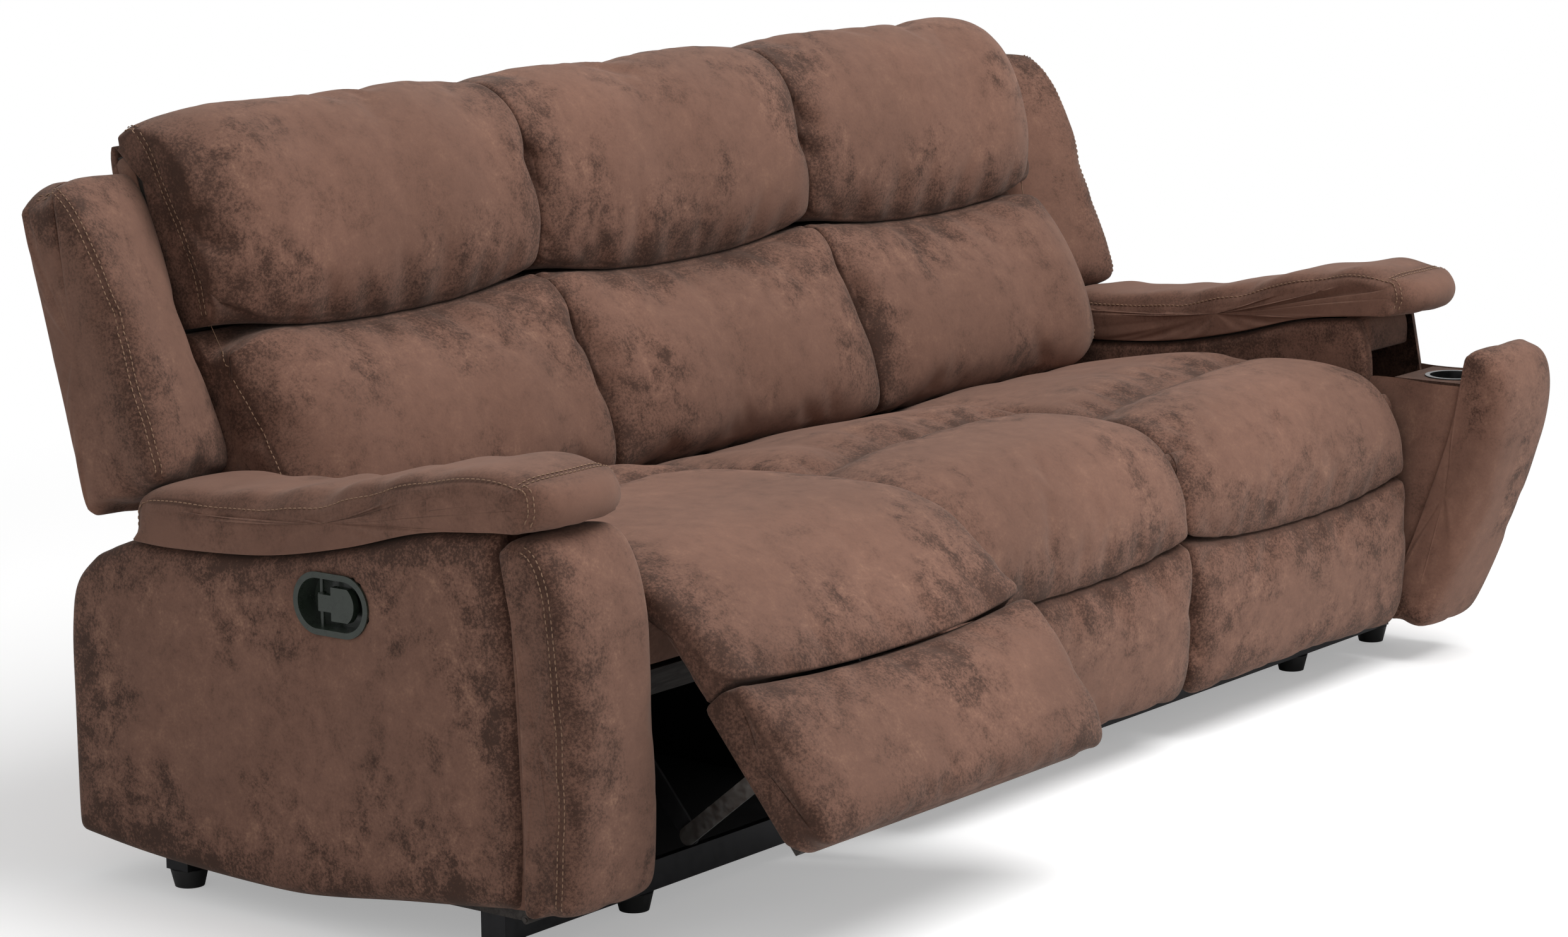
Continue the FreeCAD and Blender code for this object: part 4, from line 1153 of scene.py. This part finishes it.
def console_gusset(name, side, settings):
    """Side panels, drawn with folds, between the arm and its console door."""
    arm = curve([(98, 82), (98, 466)], 28)
    door = at_door(name, curve([(67, 84), (67, 250), (75, 415), (82, 490)], 28))
    end = -17 if name == "right" else 70
    share = np.linspace(0, 1, 14)
    for label, x, way in (("inner", ARM_IN + 9, 1), ("outer", ARM_OUT - 14, -1)):
        grid = []
        for k in range(28):
            fold = 7 * (k / 27) * np.sin(math.pi * share * 2.0) * way
            grid.append([(side * (x + f), *(arm[k] + (door[k] - arm[k]) * t)) for t, f in zip(share, fold)])
        piece = plain_sheet(f"{name}_{label}_gusset", grid, cover_worn_shaded(settings))
        finish_piece(piece, None, blend=(
            "root", name + "_console", metres(side * x, 97, 300), metres(side * x, end, 300)))


class SOFA_OT_consoles(bpy.types.Operator):
    """The padded console doors in the fronts of the arms, with their side gussets"""
    bl_idname = "sofa.consoles"
    bl_label = "Consoles"

    def execute(self, context):
        settings = settings_of(context)
        made = {}
        for name, side in SIDES.items():
            xs, sections = sections_across(ARM_IN + 2, ARM_OUT - 2, lambda share, distance: at_door(
                name, post_section(share, distance)))
            made[name] = padded_piece(name + "_console_padding", side * xs, sections, cover(settings),
                                      seam_rows=(0, 54), held=[0, *range(53, 86)], bulge=side * 1.5)
        swell(list(made.values()), CONSOLE_REACH, settings.filling)
        outer_line = ((62, 548), (44, 536), (26, 500), (16, 440), (9, 353), (6, 262), (6, 190), (9, 120),
                      (14, 92))
        for name, side in SIDES.items():
            piece = finish_piece(made[name], name + "_console", (name + "_console_post",))
            line = [(side * (ARM_OUT - 1), *p) for p in at_door(name, outer_line)]
            pinch(piece, [line], 1.6)
            stitch_rows(name + "_console_stitching", [line], tree_of(piece), name + "_console", settings)
            console_gusset(name, side, settings)
        return {"FINISHED"}


# Linings

def lining_and_shade_sheet(name, body, corners):
    """A sheet of black cloth between four corners, used as lining and as painted shade."""
    a, b, c, d = (np.array(p, float) for p in corners)
    grid = [[a + (b - a) * u + (d - a) * v + (a - b + c - d) * u * v for u in np.linspace(0, 1, 25)]
            for v in np.linspace(0, 1, 9)]
    piece = finish_piece(plain_sheet(name, grid, lining()), body, levels=0)


def level(x0, x1, y0, y1, z):
    return (x0, y0, z), (x1, y0, z), (x1, y1, z), (x0, y1, z)


def upright(x, y0, y1, z0, z1):
    return (x, y0, z0), (x, y1, z0), (x, y1, z1), (x, y0, z1)


class SOFA_OT_linings(bpy.types.Operator):
    """Black dust cloths under the seats, behind the footrests and at the rear, partly real lining and partly
    painted shade: the upright sheets stand for the shade inside the base
    """
    bl_idname = "sofa.linings"
    bl_label = "Linings"

    def execute(self, context):
        lining_and_shade_sheet("dust_cloth", "root", level(-972, 972, 138, 704, 66.5))
        # Upright black sheets inside the base: painted shade where its interior lies in shadow.
        lining_and_shade_sheet("rear_shade_sheet", "root", ((-972, 684, 66.5), (972, 684, 66.5), (972, 684, 298),
                                              (-972, 684, 298)))
        for name, side in SIDES.items():
            lining_and_shade_sheet(name + "_bay_shade_sheet", "root", upright(side * 323, 138, 684, 66.5, 296))
            lining_and_shade_sheet(name + "_arm_shade_sheet", "root", upright(side * 973.5, 104, 684, 70, 318))
        for name, side in SEATS.items():
            x = side * SEAT_PITCH
            lining_and_shade_sheet(name + "_deck_cloth", body_of(name, "seat"),
                         level(x - 272, x + 272, 172, 636, 300.5))
        return {"FINISHED"}


# Frame, mechanism and fittings

class SOFA_OT_fittings(bpy.types.Operator):
    """Finishes for the frame, the mechanism, the release handles, cup holders and feet"""
    bl_idname = "sofa.fittings"
    bl_label = "Fittings"

    def execute(self, context):
        settings = settings_of(context)
        finishes = {
            "fabric": cover(settings),
            # The frame timber is painted near black as painted shade, so it reads as the dark, shaded
            # interior of the base.
            "wood": wood_grain("Timber darkened as shade", (0.030, 0.022, 0.017), (0.014, 0.010, 0.008)),
            "steel": hard("Black steel", (0.02, 0.02, 0.022), 0.4, 60.0, (0.35, 0.55), 0.6, 0.1),
            "zinc": hard("Zinc plate", (0.22, 0.22, 0.21), 0.3, 90.0, (0.3, 0.5), 1.0, 0.1),
            "handle": hard("Handle plastic", (0.022, 0.030, 0.022), 0.5, 70.0, (0.22, 0.4), 0.0, 0.15, 0.2),
            "tray": cover_worn_shaded(settings),
            "cup": hard("Cup steel", (0.05, 0.05, 0.05), 0.3, 120.0, (0.25, 0.4), 0.9, 0.08),
            "foot": hard("Foot plastic", (0.012, 0.012, 0.012), 0.4, 80.0, (0.4, 0.6), 0.0, 0.2),
            "lining": lining(),
        }
        slots = {}
        for part in frame["record"].get("subparts", []):
            slots[part.get("node") or part.get("name")] = part.get("material_slot") or part.get("slot")
        for name, piece in frame["nodes"].items():
            for place in piece.material_slots:
                key = place.material.name.split(".")[0] if place.material else slots.get(name)
                place.material = finishes.get(key) or finishes.get(slots.get(name)) or finishes["steel"]
            if not piece.material_slots:
                piece.data.materials.append(finishes.get(slots.get(name)) or finishes["steel"])
        return {"FINISHED"}


# Studio

def white_light(tree, kind, strength):
    return node(tree, kind, {"Color": (1, 1, 1, 1), "Strength": strength}).outputs[0]


def mixed_shader(tree, factor, first, second):
    return node(tree, "ShaderNodeMixShader", {0: factor, 1: first, 2: second}).outputs[0]


def add_floor(settings):
    """A round floor that fades into the white background for the camera."""
    made, tree, shader = new_material("Studio floor")
    fill_inputs(tree, shader, {"Base Color": (*settings.floor, 1), "Roughness": 0.9,
                               "Specular IOR Level": 0.0})
    lit = shader.outputs[0]
    where = node(tree, "ShaderNodeTexCoord").outputs["Object"]
    away = node(tree, "ShaderNodeVectorMath", {0: where}, operation="LENGTH").outputs["Value"]
    seen = node(tree, "ShaderNodeLightPath").outputs["Is Camera Ray"]
    raised = node(tree, "ShaderNodeAddShader", {0: lit, 1: white_light(tree, "ShaderNodeEmission", 0.35)})
    near = mixed_shader(tree, seen, lit, raised.outputs[0])
    bright = white_light(tree, "ShaderNodeEmission", 1.0)
    far = mixed_shader(tree, times(tree, between(tree, away, 1.7, 3.2), seen), near, bright)
    output = next(n for n in tree.nodes if n.type == "OUTPUT_MATERIAL")
    tree.links.new(far, output.inputs["Surface"])
    mesh = bpy.data.meshes.new("floor")
    bm = bmesh.new()
    bmesh.ops.create_circle(bm, cap_ends=True, segments=96, radius=40)
    bm.to_mesh(mesh)
    bm.free()
    mesh.materials.append(made)
    floor = bpy.data.objects.new("floor", mesh)
    bpy.context.scene.collection.objects.link(floor)
    floor.location.z = -0.0005


def add_world(scene):
    """A white background that lights the sofa more softly than it looks."""
    scene.world = bpy.data.worlds.new("Studio")
    scene.world.use_nodes = True
    tree = scene.world.node_tree
    tree.nodes.clear()
    rays = node(tree, "ShaderNodeLightPath").outputs
    seen = maths(tree, "MAXIMUM", rays["Is Camera Ray"],
                 maths(tree, "MAXIMUM", rays["Is Glossy Ray"], rays["Is Transmission Ray"]))
    both = mixed_shader(tree, seen, white_light(tree, "ShaderNodeBackground", 0.42),
                        white_light(tree, "ShaderNodeBackground", 1.0))
    node(tree, "ShaderNodeOutputWorld", {"Surface": both})


def add_lamp(scene, name, spot, size, power):
    lamp = bpy.data.lights.new(name, "AREA")
    lamp.size = size
    lamp.energy = power
    holder = bpy.data.objects.new(name, lamp)
    scene.collection.objects.link(holder)
    holder.location = spot
    holder.rotation_euler = (Vector((0, 0, 0.5)) - Vector(spot)).to_track_quat("-Z", "Y").to_euler()


def add_camera(scene):
    yaw, pitch, roll = (math.radians(angle) for angle in CAMERA_TURN)
    ahead = Vector((math.sin(yaw) * math.cos(pitch), math.cos(yaw) * math.cos(pitch), -math.sin(pitch)))
    right = Vector((math.cos(yaw), -math.sin(yaw), 0))
    up = right.cross(ahead)
    level_axis = right * math.cos(roll) + up * math.sin(roll)
    head = up * math.cos(roll) - right * math.sin(roll)
    data = bpy.data.cameras.new("camera")
    data.sensor_width = 36
    data.lens = CAMERA_LENS
    data.shift_x, data.shift_y = CAMERA_SHIFT
    camera = bpy.data.objects.new("camera", data)
    scene.collection.objects.link(camera)
    camera.matrix_world = Matrix([(level_axis[k], head[k], -ahead[k], CAMERA_AT[k]) for k in range(3)]
                                 + [(0, 0, 0, 1)])
    scene.camera = camera


class SOFA_OT_stage(bpy.types.Operator):
    """Pale floor, soft lamps and the camera"""
    bl_idname = "sofa.stage"
    bl_label = "Studio"

    def execute(self, context):
        settings = settings_of(context)
        scene = context.scene
        scene.view_settings.view_transform = "Standard"
        add_floor(settings)
        add_world(scene)
        add_lamp(scene, "key_lamp", (0.7, -2.6, 5.0), 3.4, settings.lamp_power)
        add_lamp(scene, "side_lamp", (-5.5, -2.0, 3.2), 3.0, settings.lamp_power * 0.07)
        add_camera(scene)
        return {"FINISHED"}


class SOFA_PT_panel(bpy.types.Panel):
    """Lists the sofa's pieces in the sidebar"""
    bl_idname = "SOFA_PT_panel"
    bl_label = "Reclining Sofa"
    bl_space_type = "VIEW_3D"
    bl_region_type = "UI"
    bl_category = "Sofa"

    def draw(self, context):
        layout = self.layout
        settings = settings_of(context)
        for key in SofaSettings.__annotations__:
            layout.prop(settings, key)
        for operator in OPERATORS:
            layout.operator(operator.bl_idname)


OPERATORS = (SOFA_OT_stage, SOFA_OT_fittings, SOFA_OT_seats, SOFA_OT_footrests, SOFA_OT_backs, SOFA_OT_rear,
             SOFA_OT_wings, SOFA_OT_arms, SOFA_OT_consoles, SOFA_OT_linings)
CLASSES = (SofaSettings, *OPERATORS, SOFA_PT_panel)


def register():
    for cls in CLASSES:
        bpy.utils.register_class(cls)
    bpy.types.Scene.reclining_sofa = PointerProperty(type=SofaSettings)


def unregister():
    del bpy.types.Scene.reclining_sofa
    for cls in reversed(CLASSES):
        bpy.utils.unregister_class(cls)


def main():
    register()
    bpy.ops.sofa.stage()
    bpy.ops.sofa.fittings()
    bpy.ops.sofa.seats()
    bpy.ops.sofa.footrests()
    bpy.ops.sofa.backs()
    bpy.ops.sofa.rear()
    bpy.ops.sofa.wings()
    bpy.ops.sofa.arms()
    bpy.ops.sofa.consoles()
    bpy.ops.sofa.linings()


if __name__ == "__main__":
    main()
